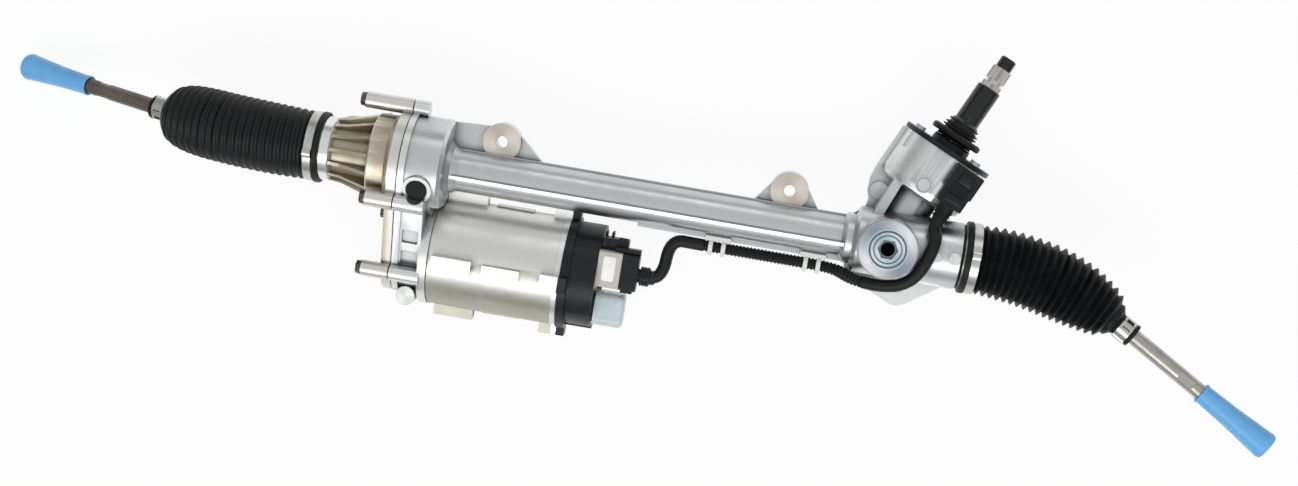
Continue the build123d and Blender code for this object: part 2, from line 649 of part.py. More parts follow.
with BuildPart() as ecu_board:
    ring(on_motor(ecu_left + 9), ecu_r - ecu_wall - 4, 0, 1.6)
    with BuildSketch(on_motor(ecu_left + 10.6)):
        with Locations((18, 8), (-14, 16), (-16, -14)):
            Rectangle(13, 13)
        with Locations((14, -18)):
            Circle(8)
    extrude(amount=7)
    with BuildSketch(on_motor(ecu_left)):
        with PolarLocations(ecu_r - 10, 4, 45):
            Circle(3)
    extrude(amount=9)
save(ecu_board, "ecu_board")

with BuildPart() as ecu_cover:
    ring(on_motor(ecu_left), ecu_r, 0, ecu_depth)
    # flat lower front below the ledge, and a chamfered end
    slab(on_motor(ecu_left), [(ecu_ledge, 0), (-2 * ecu_r, 0), (-2 * ecu_r, 2 * ecu_r), (ecu_ledge, 2 * ecu_r)],
         ecu_depth, Mode.SUBTRACT)
    with BuildSketch(on_motor(ecu_left)) as lower_front:
        Circle(ecu_r - 2.5)
        with Locations((ecu_ledge + ecu_r, 0)):
            Rectangle(2 * ecu_r, 3 * ecu_r, mode=Mode.SUBTRACT)
    extrude(lower_front.sketch, amount=ecu_depth)
    ring(on_motor(ecu_left), ecu_rim_r, 0, ecu_rim_depth)
    motor_lugs(ecu_left, ecu_rim_depth)
    # stiffening ribs down the end face
    with BuildSketch(on_motor(ecu_right)):
        for side in (-34, -24, -14, -4):
            with Locations((6, side)):
                Rectangle(46, 2)
    extrude(amount=1.6)
    ring(on_motor(ecu_left), ecu_r - 2.5 - ecu_wall, 0, ecu_depth - ecu_wall, Mode.SUBTRACT)
save(ecu_cover, "ecu_cover")

# connectors on the controller's end: signal block with its plug, power socket with a cap
block_y, block_z = motor_y + 15.5, motor_z + 34.0
block_height, block_depth, block_length = 34.0, 22.0, 22.0
block_left = ecu_right
with BuildPart() as ecu_connector_block:
    with BuildSketch(Plane(origin=(block_left, block_y, block_z), x_dir=(0, 1, 0), z_dir=(1, 0, 0))):
        RectangleRounded(block_height, block_depth, 1.5)
    extrude(amount=block_length)
    with BuildSketch(Plane(origin=(block_left + block_length, block_y, block_z), x_dir=(0, 1, 0),
                           z_dir=(1, 0, 0))):
        RectangleRounded(block_height - 6, block_depth - 6, 1)
    extrude(amount=-14, mode=Mode.SUBTRACT)
save(ecu_connector_block, "ecu_connector_block")

plug_left = block_left + block_length
plug_length, plug_neck, gland_r, gland_length = 16.0, 2.6, 8.6, 8.5
latch_up = block_y + block_height / 2
outlet = Plane(origin=(plug_left + plug_length, block_y - 2, block_z), z_dir=(1, 0, 0))


def on_block(x, up=block_y):
    """Plane square to the controller's plug at x; its own x is +Y and its own y is +Z."""
    return Plane(origin=(x, up, block_z), x_dir=(0, 1, 0), z_dir=(1, 0, 0))


with BuildPart() as ecu_plug:
    with BuildSketch(on_block(plug_left - 10)):
        RectangleRounded(block_height - 6.6, block_depth - 6.6, 1)
    extrude(amount=10)
    with BuildSketch(on_block(plug_left)):
        RectangleRounded(block_height, block_depth - 2, 2)
    extrude(amount=plug_length)
    # latch on top, and the lock tab and foot below
    with BuildSketch(on_block(plug_left - 8, latch_up + 2.6)):
        RectangleRounded(4.4, 12, 1)
    extrude(amount=plug_length + 8)
    with BuildSketch(on_block(plug_left + 1, latch_up)):
        Rectangle(6, 10)
    extrude(amount=plug_length - 3)
    with BuildSketch(on_block(plug_left + 2, latch_up - block_height - 1)):
        Rectangle(4, 10)
    extrude(amount=plug_length - 5)
    # cable gland
    ring(outlet, gland_r - 2, 0, plug_neck)
    ring(outlet.offset(plug_neck), gland_r, 0, gland_length)
save(ecu_plug, "ecu_plug")

power_y, power_z = motor_y - 24.5, motor_z + 20.0
with BuildPart() as power_connector:
    with BuildSketch(Plane(origin=(ecu_right, power_y, power_z), x_dir=(0, 1, 0), z_dir=(1, 0, 0))):
        RectangleRounded(28, 22, 5)
    extrude(amount=16)
    with BuildSketch(Plane(origin=(ecu_right + 16, power_y, power_z), x_dir=(0, 1, 0), z_dir=(1, 0, 0))):
        RectangleRounded(23, 17, 3.5)
    extrude(amount=-13, mode=Mode.SUBTRACT)
    with BuildSketch(Plane(origin=(ecu_right + 3, power_y, power_z), x_dir=(0, 1, 0), z_dir=(1, 0, 0))):
        with Locations((0, -4), (0, 4)):
            Rectangle(8, 1.2)
    extrude(amount=10)
save(power_connector, "power_connector")

with BuildPart() as power_connector_cap:
    with BuildSketch(Plane(origin=(ecu_right + 2, power_y, power_z), x_dir=(0, 1, 0), z_dir=(1, 0, 0))):
        RectangleRounded(32, 26, 7)
    extrude(amount=28)
    fillet(power_connector_cap.edges().group_by(Axis.X)[-1], 4)
    with BuildSketch(Plane(origin=(ecu_right + 2, power_y, power_z), x_dir=(0, 1, 0), z_dir=(1, 0, 0))):
        RectangleRounded(28.6, 22.6, 5.3)
    extrude(amount=26, mode=Mode.SUBTRACT)
save(power_connector_cap, "power_connector_cap")

# ---- rack bar and pinion -------------------------------------------------------------------------
tooth_pitch = pi * gear_module
slope = tan(radians(pressure))
rack_tip = -rack_pitch_depth - addendum + 0.05
rack_root = -rack_pitch_depth + dedendum - 0.05
rack_half = ball_reach - socket_back
with BuildPart() as rack_bar:
    ring(on_rack(-rack_half), rack_r, 0, 2 * rack_half)
    chamfer(rack_bar.edges().filter_by(GeomType.CIRCLE), 1.5)
    # teeth cut across the back of the bar, parallel to the tilted pinion
    teeth_outline = [(-rack_teeth / 2 * tooth_pitch, -rack_r - 2)]
    for tooth in range(rack_teeth + 1):
        centre = (tooth - rack_teeth / 2) * tooth_pitch
        half_tip = tooth_pitch / 4 + (rack_pitch_depth + rack_tip) * slope * -1
        half_root = tooth_pitch / 4 - (rack_root + rack_pitch_depth) * slope
        teeth_outline += [(centre - half_tip, rack_tip), (centre - half_root, rack_root),
                          (centre + half_root, rack_root), (centre + half_tip, rack_tip)]
    teeth_outline.append((rack_teeth / 2 * tooth_pitch, -rack_r - 2))
    with BuildSketch(Plane(origin=(pinion_x, rack_y, rack_z), x_dir=pinion_across,
                           z_dir=tuple(-value for value in pinion_along))) as spaces:
        with BuildLine():
            Polyline(*teeth_outline, close=True)
        make_face()
    extrude(amount=110, both=True, mode=Mode.SUBTRACT)
    # threaded end bores for the joint studs
    ring(on_rack(-rack_half), stud_r + 0.05, 0, stud_length + 2, Mode.SUBTRACT)
    ring(on_rack(rack_half), stud_r + 0.05, 0, -stud_length - 2, Mode.SUBTRACT)
save(rack_bar, "rack_bar")


def involute(angle):
    """Involute function of a pressure angle in radians."""
    return tan(angle) - angle


pinion_base_r = pinion_pitch_r * cos(radians(pressure))
flank_steps = 4
half_tooth = pi / (2 * pinion_teeth) - backlash / (2 * pinion_pitch_r)
tooth_flank = [(pinion_root_r, half_tooth + involute(radians(pressure)))]
for step in range(flank_steps + 1):
    radius = pinion_base_r + (pinion_tip_r - pinion_base_r) * step / flank_steps
    angle = half_tooth + involute(radians(pressure)) - involute(acos(min(1, pinion_base_r / radius)))
    tooth_flank.append((radius, angle))
pinion_low, pinion_high = -20.0, 22.0
with BuildPart() as pinion:
    tooth_points = []
    for tooth in range(pinion_teeth):
        middle = 2 * pi * tooth / pinion_teeth
        tooth_points += [(r * cos(middle - a), r * sin(middle - a)) for r, a in tooth_flank]
        tooth_points += [(r * cos(middle + a), r * sin(middle + a)) for r, a in reversed(tooth_flank)]
    slab(on_pinion(pinion_low), tooth_points, pinion_high - pinion_low)
    lathe([(0, -33), (5, -33), (5, pinion_low), (0, pinion_low)], along_pinion, pinion_line)
    lathe([(0, pinion_high), (8.5, pinion_high), (8.5, 41), (11, 41), (11, 62), (0, 62)], along_pinion, pinion_line)
    ring(on_pinion(38), 7, 0, 24, Mode.SUBTRACT)
    ring(on_pinion(26), 3, 0, 12, Mode.SUBTRACT)
save(pinion, "pinion")

with BuildPart() as pinion_upper_bearing:
    ring(on_pinion(26), 16 - running_gap, 8.5 + running_gap, 12)
save(pinion_upper_bearing, "pinion_upper_bearing")

with BuildPart() as pinion_lower_bearing:
    ring(on_pinion(-34), 11.5 - running_gap, 5 + running_gap, 11)
save(pinion_lower_bearing, "pinion_lower_bearing")

with BuildPart() as pinion_cap:
    ring(on_pinion(-45.5), 11.5, 0, 6)
save(pinion_cap, "pinion_cap")

# ---- steering input ------------------------------------------------------------------------------
cover_low, cover_high = tower_end, tower_end + sensor_cover_thick
with BuildPart() as input_shaft:
    lathe([(0, 43), (7 - running_gap, 43), (7 - running_gap, 64), (10, 64), (10, 72), (shaft_r + 0.2, 72),
           (shaft_r + 0.2, sleeve_end + 5), (shaft_r - 1, sleeve_end + 5), (shaft_r - 1, sleeve_end + 7),
           (shaft_r, sleeve_end + 7), (shaft_r, spline_end), (0, spline_end)], along_pinion, pinion_line)
    ring(on_pinion(43), 4.2, 0, 100, Mode.SUBTRACT)
save(input_shaft, "input_shaft")

with BuildPart() as torsion_bar:
    ring(on_pinion(27), 3, 0, 116)
save(torsion_bar, "torsion_bar")

with BuildPart() as shaft_tip_cap:
    ring(on_pinion(spline_end), 7.6, 0, tip_end - spline_end)
    chamfer(shaft_tip_cap.edges().sort_by(Axis(pinion_origin, pinion_along))[-1], 1.2)
save(shaft_tip_cap, "shaft_tip_cap")

with BuildPart() as sensor_cover:
    ring(on_pinion(cover_low), sensor_cover_r, 16, sensor_cover_thick)
    ring(on_pinion(cover_high), 19, 16, 5)
    with BuildSketch(on_pinion(cover_low)):
        for turn in sensor_screw_turns:
            with Locations((sensor_screw_ring * cos(radians(turn)), sensor_screw_ring * sin(radians(turn)))):
                Circle(2.8)
    extrude(amount=sensor_cover_thick, mode=Mode.SUBTRACT)
save(sensor_cover, "sensor_cover")

with BuildPart() as input_shaft_seal:
    ring(on_pinion(cover_low + 1), 16 - running_gap, shaft_r + 0.2 + running_gap, 7)
save(input_shaft_seal, "input_shaft_seal")

with BuildPart() as sensor_cover_screws:
    for turn in sensor_screw_turns:
        place = (sensor_screw_ring * cos(radians(turn)), sensor_screw_ring * sin(radians(turn)))
        with BuildSketch(on_pinion(cover_high)):
            with Locations(place):
                Circle(5)
        extrude(amount=3.6)
        with BuildSketch(on_pinion(cover_high)):
            with Locations(place):
                Circle(2.5)
        extrude(amount=-sensor_cover_thick)
save(sensor_cover_screws, "sensor_cover_screws")

with BuildPart() as dust_shield:
    lathe([(shaft_r + 0.2, 112), (13, 112), (13, 114.5), (24, 114.5), (25, 116), (25, 119), (23, 120.5),
           (15, 120.5), (14.4, sleeve_start), (shaft_r + 0.2, sleeve_start)], along_pinion, pinion_line)
save(dust_shield, "dust_shield")

with BuildPart() as shaft_sleeve:
    lathe([(shaft_r + 0.2, sleeve_start), (13.6, sleeve_start), (13.6, sleeve_start + 4),
           (sleeve_r, sleeve_start + 6), (sleeve_r, sleeve_end - 1), (sleeve_r - 1, sleeve_end),
           (shaft_r + 0.2, sleeve_end)], along_pinion, pinion_line)
save(shaft_sleeve, "shaft_sleeve")

# ---- yoke ----------------------------------------------------------------------------------------
yoke_front, plug_back = 27.0, 32.0
with BuildPart() as yoke:
    with BuildSketch(facing(3)):
        with Locations((pinion_x, 0)):
            Circle(yoke_r)
    extrude(amount=yoke_front - 3)
    ring(on_rack(pinion_x - yoke_r - 1), rack_r + running_gap, 0, 2 * yoke_r + 2, Mode.SUBTRACT)
    with BuildSketch(facing(yoke_front)):
        with Locations((pinion_x, 0)):
            Circle(8.4)
    extrude(amount=-5, mode=Mode.SUBTRACT)
save(yoke, "yoke")

with BuildPart() as yoke_spring:
    lathe([(4, yoke_front - 5), (8, yoke_front - 5), (8, yoke_front - 3.4), (6, plug_back), (2, plug_back)],
          Plane(origin=(pinion_x, rack_y, rack_z), x_dir=(1, 0, 0), z_dir=(0, -1, 0)),
          Axis((pinion_x, rack_y, rack_z), (0, 0, 1)))
save(yoke_spring, "yoke_spring")

yoke_plug_front = yoke_ring_front - 0.6
with BuildPart() as yoke_plug:
    with BuildSketch(facing(plug_back)):
        with Locations((pinion_x, 0)):
            Circle(yoke_plug_r - 0.05)
    extrude(amount=yoke_plug_front - plug_back)
    for outer, inner, depth in ((17.4, 15.6, 1.2), (13.2, 12.0, 1.0)):
        with BuildSketch(facing(yoke_plug_front)):
            with Locations((pinion_x, 0)):
                Circle(outer)
                Circle(inner, mode=Mode.SUBTRACT)
        extrude(amount=-depth, mode=Mode.SUBTRACT)
    with BuildSketch(facing(yoke_plug_front)):
        with Locations((pinion_x, 0)):
            RegularPolygon(9.6, 6)
    extrude(amount=-2.5, mode=Mode.SUBTRACT)
    with BuildSketch(facing(yoke_plug_front - 2.5)):
        with Locations((pinion_x, 0)):
            Circle(6.4)
    extrude(amount=-6, mode=Mode.SUBTRACT)
save(yoke_plug, "yoke_plug")

# ---- small parts of the housing ------------------------------------------------------------------
with BuildPart() as mount_bushes:
    with BuildSketch():
        with Locations(*ear_places):
            Circle(bush_r)
            Circle(bush_bore_r, mode=Mode.SUBTRACT)
    extrude(amount=ear_depth)
save(mount_bushes, "mount_bushes")

with BuildPart() as bump_stops:
    ring(on_rack(-stop_face), socket_pocket_r, rack_r + 1, bump_stop_thick)
    ring(on_rack(stop_back), socket_pocket_r, rack_r + 1, bump_stop_thick)
save(bump_stops, "bump_stops")

# ---- sensor connector, clips and cable -----------------------------------------------------------
connector_middle = (pocket_floor + connector_front) / 2
with BuildPart() as sensor_connector:
    with BuildSketch(on_pinion(connector_low + 14)):
        with Locations((connector_middle, connector_across)):
            RectangleRounded(connector_front - pocket_floor, connector_width, 2)
    extrude(amount=connector_high - connector_low - 14)
    with BuildSketch(on_pinion(connector_low)):
        with Locations((connector_middle, connector_across + 1)):
            RectangleRounded(connector_front - pocket_floor - 3, connector_width - 4, 4)
    extrude(amount=14)
    with BuildSketch(on_pinion(nozzle_end)):
        with Locations((nozzle_front, connector_across)):
            Circle(nozzle_r)
    extrude(amount=connector_low - nozzle_end)
save(sensor_connector, "sensor_connector")

# white edge clips that hold the cable under the tube's rib
clip_places = [78.5, 167.5]
clip_length, clip_wall, clip_band, clip_band_out = 24.0, 2.0, 4.0, 8.0
cable_line = (-29.9, 3.1)       # cable centre at the clips, from the rack bar
clip_gap = 0.4
with BuildPart() as cable_clips:
    for place in clip_places:
        with BuildSketch(on_rack(place - clip_length / 2)):
            with Locations((-cable_rib_bottom + 0.65, rib_middle)):
                Rectangle(4.3, cable_rib_thick + 2 * clip_wall)
        extrude(amount=clip_length)
        for band in (place - clip_band_out, place + clip_band_out - clip_band):
            with BuildSketch(on_rack(band)):
                with Locations(cable_line):
                    Circle(cable_r + clip_gap + clip_wall)
                with Locations(cable_line):
                    Circle(cable_r + clip_gap, mode=Mode.SUBTRACT)
            extrude(amount=clip_band)
        with BuildSketch(on_rack(place - clip_length / 2)):
            with Locations((-cable_rib_bottom + 5, rib_middle)):
                Rectangle(10, cable_rib_thick)
        extrude(amount=clip_length, mode=Mode.SUBTRACT)
save(cable_clips, "cable_clips")

# cable from the controller plug, along the tube's rib and round the yoke boss, to the sensor
first_bend_r = 9.0
cable_points = [(34.5, -29.4, 3.2), (60, -29.9, 3.1), (100, -29.9, 3.0), (142, -29.9, 3.0), (189, -30, 3.6),
                (203, -34.8, 19.2), (221, -36.4, 24.5), (236, -35.4, 28.5), (250, -31.4, 32.5), (262, -20.5, 37),
                (269.5, -2, 39.5), (273.5, 18, 37)]
cable_start = outlet.from_local_coords(Vector(0, 0, plug_neck + gland_length))
nozzle = on_pinion(nozzle_end)
cable_end = nozzle.from_local_coords(Vector(nozzle_front, connector_across, 0))
route = [cable_start, cable_start + outlet.z_dir * 12]
route += [Vector(x, rack_y + up, rack_z + out) for x, up, out in cable_points]
route += [cable_end - nozzle.z_dir * 18, cable_end]


def corner_radius(before, corner, after):
    """Largest easy bend at a corner of the cable's route."""
    turn = (corner - before).get_angle(after - corner)
    return 0.45 * min((corner - before).length, (after - corner).length) / tan(radians(turn / 2))


radii = [first_bend_r] + [corner_radius(*route[i - 1:i + 2]) for i in range(2, len(route) - 1)]
with BuildPart() as sensor_cable:
    with BuildLine() as cable_path:
        FilletPolyline(*route, radius=radii)
    with BuildSketch(Plane(origin=cable_path.line @ 0, z_dir=cable_path.line % 0)):
        Circle(cable_r)
    sweep()
save(sensor_cable, "sensor_cable")

# ---- inner joints, tie rods and boots ------------------------------------------------------------
seat_opening = 54.0                       # half angle of the ball seat's mouth
flats_start, flats_length, flats_width = 142.0, 16.0, 12.5
boot_shares = [0, 0.17, 0.34, 0.5, 0.66, 0.83, 0.93, 1]
boot_swell = [boot_r, 33.4, 34, 34, 32]


def ball_centre(side):
    """Centre of an inner ball joint; side is -1 on the left, 1 on the right."""
    return Vector(side * ball_reach, rack_y, rack_z)


def rod_heading(side, steer, bump):
    """Direction of a tie rod from its ball, steered up or down and tipped to the front."""
    level = cos(radians(bump))
    return Vector(side * cos(radians(steer)) * level, sin(radians(steer)) * level, sin(radians(bump)))


def make_socket(side):
    """Steel housing of an inner ball joint, screwed into the rack's end."""
    with BuildPart(Plane(origin=ball_centre(side), z_dir=(side, 0, 0))) as socket:
        with Locations((0, 0, -socket_back)):
            Cylinder(socket_r, socket_back + socket_mouth, align=low)
        chamfer(socket.edges().filter_by(GeomType.CIRCLE), 1.2)
        for turn in (0, 180):
            with Locations(Location((0, 0, -socket_back), (0, 0, 1), turn)):
                with Locations((0, socket_r - 2.2, 0)):
                    Box(2 * socket_r, 8, 9, align=(Align.CENTER, Align.MIN, Align.MIN), mode=Mode.SUBTRACT)
        with Locations((0, 0, -socket_back - stud_length)):
            Cylinder(stud_r, stud_length, align=low)
        Sphere(seat_r + running_gap, mode=Mode.SUBTRACT)
    return socket


def make_seat(side, steer):
    """Plastic bearing shell between ball and socket, open towards the rod."""
    with BuildPart(Plane(origin=ball_centre(side), z_dir=rod_heading(side, steer, 0))) as seat:
        Sphere(seat_r)
        Sphere(ball_r + running_gap, mode=Mode.SUBTRACT)
        Cone(0, seat_r * 1.2 * tan(radians(seat_opening)), seat_r * 1.2, align=low, mode=Mode.SUBTRACT)
    return seat


def make_rod(side, steer, bump):
    """Tie rod: ball, neck, shank with wrench flats, and the end that takes the outer joint."""
    with BuildPart(Plane(origin=ball_centre(side), z_dir=rod_heading(side, steer, bump))) as rod:
        Sphere(ball_r)
        Cylinder(rod_neck_r, 26, align=low)
        with Locations((0, 0, 21)):
            Cone(rod_neck_r, rod_r, 5, align=low)
        with Locations((0, 0, 26)):
            Cylinder(rod_r, thread_start - 26, align=low)
        with Locations((0, 0, thread_start)):
            Cylinder(rod_r - 0.55, rod_end - thread_start, align=low)
        chamfer(rod.edges().filter_by(GeomType.CIRCLE).sort_by(Axis(ball_centre(side),
                rod_heading(side, steer, bump)))[-1], 1.5)
        for turn in (0, 180):
            with Locations(Location((0, 0, flats_start), (0, 0, 1), turn)):
                with Locations((0, flats_width / 2, 0)):
                    Box(20, 5, flats_length, align=(Align.CENTER, Align.MIN, Align.MIN), mode=Mode.SUBTRACT)
    return rod


def make_rod_cap(side, steer, bump):
    """Slip-on transport cap, flared at its closed end."""
    heading = rod_heading(side, steer, bump)
    centre = ball_centre(side)
    section = Plane(origin=centre, x_dir=heading, z_dir=(heading.X * heading.Z, heading.Y * heading.Z,
                    -(heading.X ** 2 + heading.Y ** 2)))
    bore = rod_r + near_gap
    with BuildPart() as cap:
        lathe([(cap_start, bore), (cap_start, bore + 1.5), (cap_start + 34, bore + 2.6),
               (cap_end - 9, 12.4), (cap_end - 3, 13), (cap_end, 12), (cap_end, 0), (rod_end + 3, 0),
               (rod_end + 3, bore)], section, Axis(centre, heading))
    return cap


def tube_loft(planes, radii, mode=Mode.ADD):
    """Loft circles on a row of planes, into the open part."""
    sections = []
    for plane, radius in zip(planes, radii):
        with BuildSketch(plane) as section:
            Circle(radius)
        sections.append(section.sketch)
    loft(sections, ruled=True, mode=mode)


def swell_at(share, swell):
    """Crest radius of a boot at a share of its length."""
    for i in range(1, len(boot_shares)):
        if share <= boot_shares[i]:
            part = (share - boot_shares[i - 1]) / (boot_shares[i] - boot_shares[i - 1])
            return swell[i - 1] + (swell[i] - swell[i - 1]) * part


def make_boot(side, steer, bump, end, end_r, folds, fold_depth):
    """Bellows boot with its main folds, from the housing's seat to a cuff on the tie rod."""
    heading = rod_heading(side, steer, bump)
    start = Vector(side * end, rack_y, rack_z)
    middle = ball_centre(side)
    cuff = middle + heading * (clamp_place - 9)
    swell = boot_swell + [end_r, end_r - 6, boot_cuff_r]
    planes, radii = [], []
    for step in range(2 * folds + 1):
        share = step / (2 * folds)
        point = start * (1 - share) ** 2 + middle * (2 * share * (1 - share)) + cuff * share ** 2
        ahead = (middle - start) * (1 - share) + (cuff - middle) * share
        planes.append(Plane(origin=point, x_dir=ahead.cross(Vector(0, 0, 1)), z_dir=ahead))
        radii.append(swell_at(share, swell) - fold_depth * (step % 2))
    large = Plane(origin=start, z_dir=(-side, 0, 0))
    with BuildPart() as boot:
        tube_loft(planes, radii)
        tube_loft(planes, [radius - boot_wall for radius in radii[:-1]] + [rod_r + near_gap], Mode.SUBTRACT)
        # cuffs: on the housing's boot seat, and on the rod
        ring(large, boot_r, boot_seat_r + 0.1, boot_seat_length - 1)
        ring(large.offset(0.5), boot_r + 1, boot_r - 1.2, 8, Mode.SUBTRACT)
        ring(Plane(origin=cuff, z_dir=heading), boot_cuff_r, rod_r + near_gap, 18)
    return boot


def band_clamp(plane, bore, wall, width):
    """Crimped band clamp with its pinched ear, into the open part."""
    ring(plane, bore + wall, bore, width)
    with BuildSketch(plane) as ear:
        with Locations((0, bore + wall + 1)):
            Rectangle(6, 3)
    extrude(ear.sketch, amount=width)


for name, side, steer, bump, end, end_r, folds, fold_depth in (
        ("left", -1, left_steer, left_bump, -left_end, 27.0, 6, 2.4),
        ("right", 1, right_steer, right_bump, right_end, 25.0, 9, 3.8)):
    save(make_socket(side), f"{name}_joint_socket")
    save(make_seat(side, steer), f"{name}_ball_seat")
    save(make_rod(side, steer, bump), f"{name}_tie_rod")
    save(make_rod_cap(side, steer, bump), f"{name}_rod_cap")
    save(make_boot(side, steer, bump, end, end_r, folds, fold_depth), f"{name}_boot")
    heading = rod_heading(side, steer, bump)
    with BuildPart() as rod_clamp:
        band_clamp(Plane(origin=ball_centre(side) + heading * (clamp_place - 4), z_dir=heading),
                   boot_cuff_r + near_gap, 1.1, 8)
    save(rod_clamp, f"{name}_rod_clamp")

with BuildPart() as boot_clamps:
    for end, inward in ((left_end, 1), (right_end, -1)):
        band_clamp(Plane(origin=(end + 0.8 * inward, rack_y, rack_z), x_dir=(0, -inward, 0),
                         z_dir=(inward, 0, 0)), boot_r - 1.1, 1.3, 7.4)
save(boot_clamps, "boot_clamps")
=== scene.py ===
import math

import bmesh
import bpy
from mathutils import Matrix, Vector


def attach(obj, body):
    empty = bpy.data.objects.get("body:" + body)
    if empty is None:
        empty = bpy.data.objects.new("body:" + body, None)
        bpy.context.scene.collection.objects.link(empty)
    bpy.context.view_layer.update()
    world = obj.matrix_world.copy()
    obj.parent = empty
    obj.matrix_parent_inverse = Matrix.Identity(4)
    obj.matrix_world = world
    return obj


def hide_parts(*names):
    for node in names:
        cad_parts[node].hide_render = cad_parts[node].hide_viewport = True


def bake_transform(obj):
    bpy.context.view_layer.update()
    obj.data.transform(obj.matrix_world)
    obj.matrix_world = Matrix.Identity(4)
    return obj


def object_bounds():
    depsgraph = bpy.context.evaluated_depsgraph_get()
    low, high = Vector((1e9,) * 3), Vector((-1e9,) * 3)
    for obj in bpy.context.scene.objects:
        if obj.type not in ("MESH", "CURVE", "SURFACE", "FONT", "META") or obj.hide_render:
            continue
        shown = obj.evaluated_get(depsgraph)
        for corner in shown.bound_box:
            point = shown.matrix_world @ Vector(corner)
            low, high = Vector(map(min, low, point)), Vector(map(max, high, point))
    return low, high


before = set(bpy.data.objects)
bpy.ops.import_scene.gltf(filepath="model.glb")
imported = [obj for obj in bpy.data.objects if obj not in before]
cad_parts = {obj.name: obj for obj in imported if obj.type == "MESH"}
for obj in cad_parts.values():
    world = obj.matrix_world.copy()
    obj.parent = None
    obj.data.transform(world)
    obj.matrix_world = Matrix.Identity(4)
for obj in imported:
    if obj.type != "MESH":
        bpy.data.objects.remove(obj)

cad_low, cad_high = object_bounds()

# ---- camera -------------------------------------------------------------------------------------
# Looks down on the rack as it lies on its back, from above the middle of the tube, turned so that
# the pinion side drops to the lower right.
view = bpy.data.cameras.new("studio_camera")
view.sensor_width = 36.0
view.lens = 50.97
view.clip_end = 50.0
camera = bpy.data.objects.new("studio_camera", view)
bpy.context.scene.collection.objects.link(camera)
camera.location = (0.1054, 0.1677, 1.7135)
camera.rotation_euler = (math.radians(-7.36), math.radians(4.29), math.radians(9.31))
bpy.context.scene.camera = camera
bpy.context.scene.view_settings.view_transform = "Standard"

# ---- studio -------------------------------------------------------------------------------------
# A pale table under the rack in a room that is bright overhead and greyer at eye level, so that
# round castings shade from light to dark. One wide soft lamp hangs past the table's motor side and
# draws the bright band below the middle of each tube. A weak one stands on the column side.


def linear(code):
    """Linear RGBA of an sRGB hex colour."""
    parts = [int(code[i:i + 2], 16) / 255 for i in (1, 3, 5)]
    return tuple(c / 12.92 if c <= 0.04045 else ((c + 0.055) / 1.055) ** 2.4 for c in parts) + (1.0,)


def add(tree, kind, fill=None, **settings):
    """Add one node with its settings, and fill its inputs with values or other nodes' sockets."""
    new = tree.nodes.new(kind)
    for name, value in settings.items():
        setattr(new, name, value)
    for name, value in (fill or {}).items():
        if isinstance(value, bpy.types.NodeSocket):
            tree.links.new(value, new.inputs[name])
        else:
            new.inputs[name].default_value = value
    return new


def blank(name):
    """A new empty material and its tree."""
    made = bpy.data.materials.new(name)
    made.use_nodes = True
    made.node_tree.nodes.clear()
    return made, made.node_tree


def show(name, verts, faces, smooth=False):
    """A mesh object in the scene, with its place in its mesh."""
    mesh = bpy.data.meshes.new(name)
    mesh.from_pydata(verts, [], faces)
    mesh.validate()
    if smooth:
        mesh.shade_smooth()
    piece = bpy.data.objects.new(name, mesh)
    bpy.context.scene.collection.objects.link(piece)
    return piece


floor_z, table_half, seen_white = cad_low.z - 0.0005, 40, 0.9
# laminate: lit like matt white, and seen by the camera and in metal as plain bright paper
table_paint, tree = blank("white matt laminate")
rays = add(tree, "ShaderNodeLightPath")
seen = add(tree, "ShaderNodeMath", {0: rays.outputs["Is Camera Ray"], 1: rays.outputs["Is Glossy Ray"]},
           operation="MAXIMUM")
seen = add(tree, "ShaderNodeMath", {0: seen.outputs[0], 1: rays.outputs["Is Transmission Ray"]},
           operation="MAXIMUM")
share = add(tree, "ShaderNodeMath", {0: seen.outputs[0], 1: seen_white}, operation="MULTIPLY")
lit = add(tree, "ShaderNodeBsdfDiffuse", {"Color": linear("#F4F4F4")})
glow = add(tree, "ShaderNodeEmission", {"Color": linear("#FFFFFF"), "Strength": 1.0})
both = add(tree, "ShaderNodeMixShader", {0: share.outputs[0], 1: lit.outputs[0], 2: glow.outputs[0]})
add(tree, "ShaderNodeOutputMaterial", {"Surface": both.outputs[0]})
table_corners = [(table_half * x, table_half * y, floor_z) for x, y in ((-1, -1), (1, -1), (1, 1), (-1, 1))]
table = show("table", table_corners, [(0, 1, 2, 3)])
table.data.materials.append(table_paint)

room = bpy.data.worlds.new("pale_room")
bpy.context.scene.world = room
room.use_nodes = True
tree = room.node_tree
tree.nodes.clear()
up = add(tree, "ShaderNodeSeparateXYZ", {0: add(tree, "ShaderNodeTexCoord").outputs["Generated"]})
height = add(tree, "ShaderNodeMapRange", {"Value": up.outputs["Z"], "From Min": 0.05, "From Max": 0.85,
                                          "To Min": 0.32, "To Max": 0.80}, interpolation_type="SMOOTHSTEP")
walls = add(tree, "ShaderNodeBackground", {"Color": linear("#F4F5F6"),
                                           "Strength": height.outputs["Result"]})
add(tree, "ShaderNodeOutputWorld", {"Surface": walls.outputs[0]})

for name, place, aim, size, power in (
        ("motor_side_lamp", (0.0, -1.15, 1.55), (0.05, -0.05, 0.0), (2.6, 0.8), 16.5),
        ("column_side_lamp", (0.3, 1.7, 1.0), (0.05, 0.0, 0.0), (1.8, 0.4), 4.0)):
    lamp = bpy.data.lights.new(name, "AREA")
    lamp.shape = "RECTANGLE"
    lamp.size, lamp.size_y = size
    lamp.energy = power
    hung = bpy.data.objects.new(name, lamp)
    bpy.context.scene.collection.objects.link(hung)
    hung.location = place
    hung.rotation_euler = (Vector(aim) - Vector(place)).to_track_quat("-Z", "Y").to_euler()

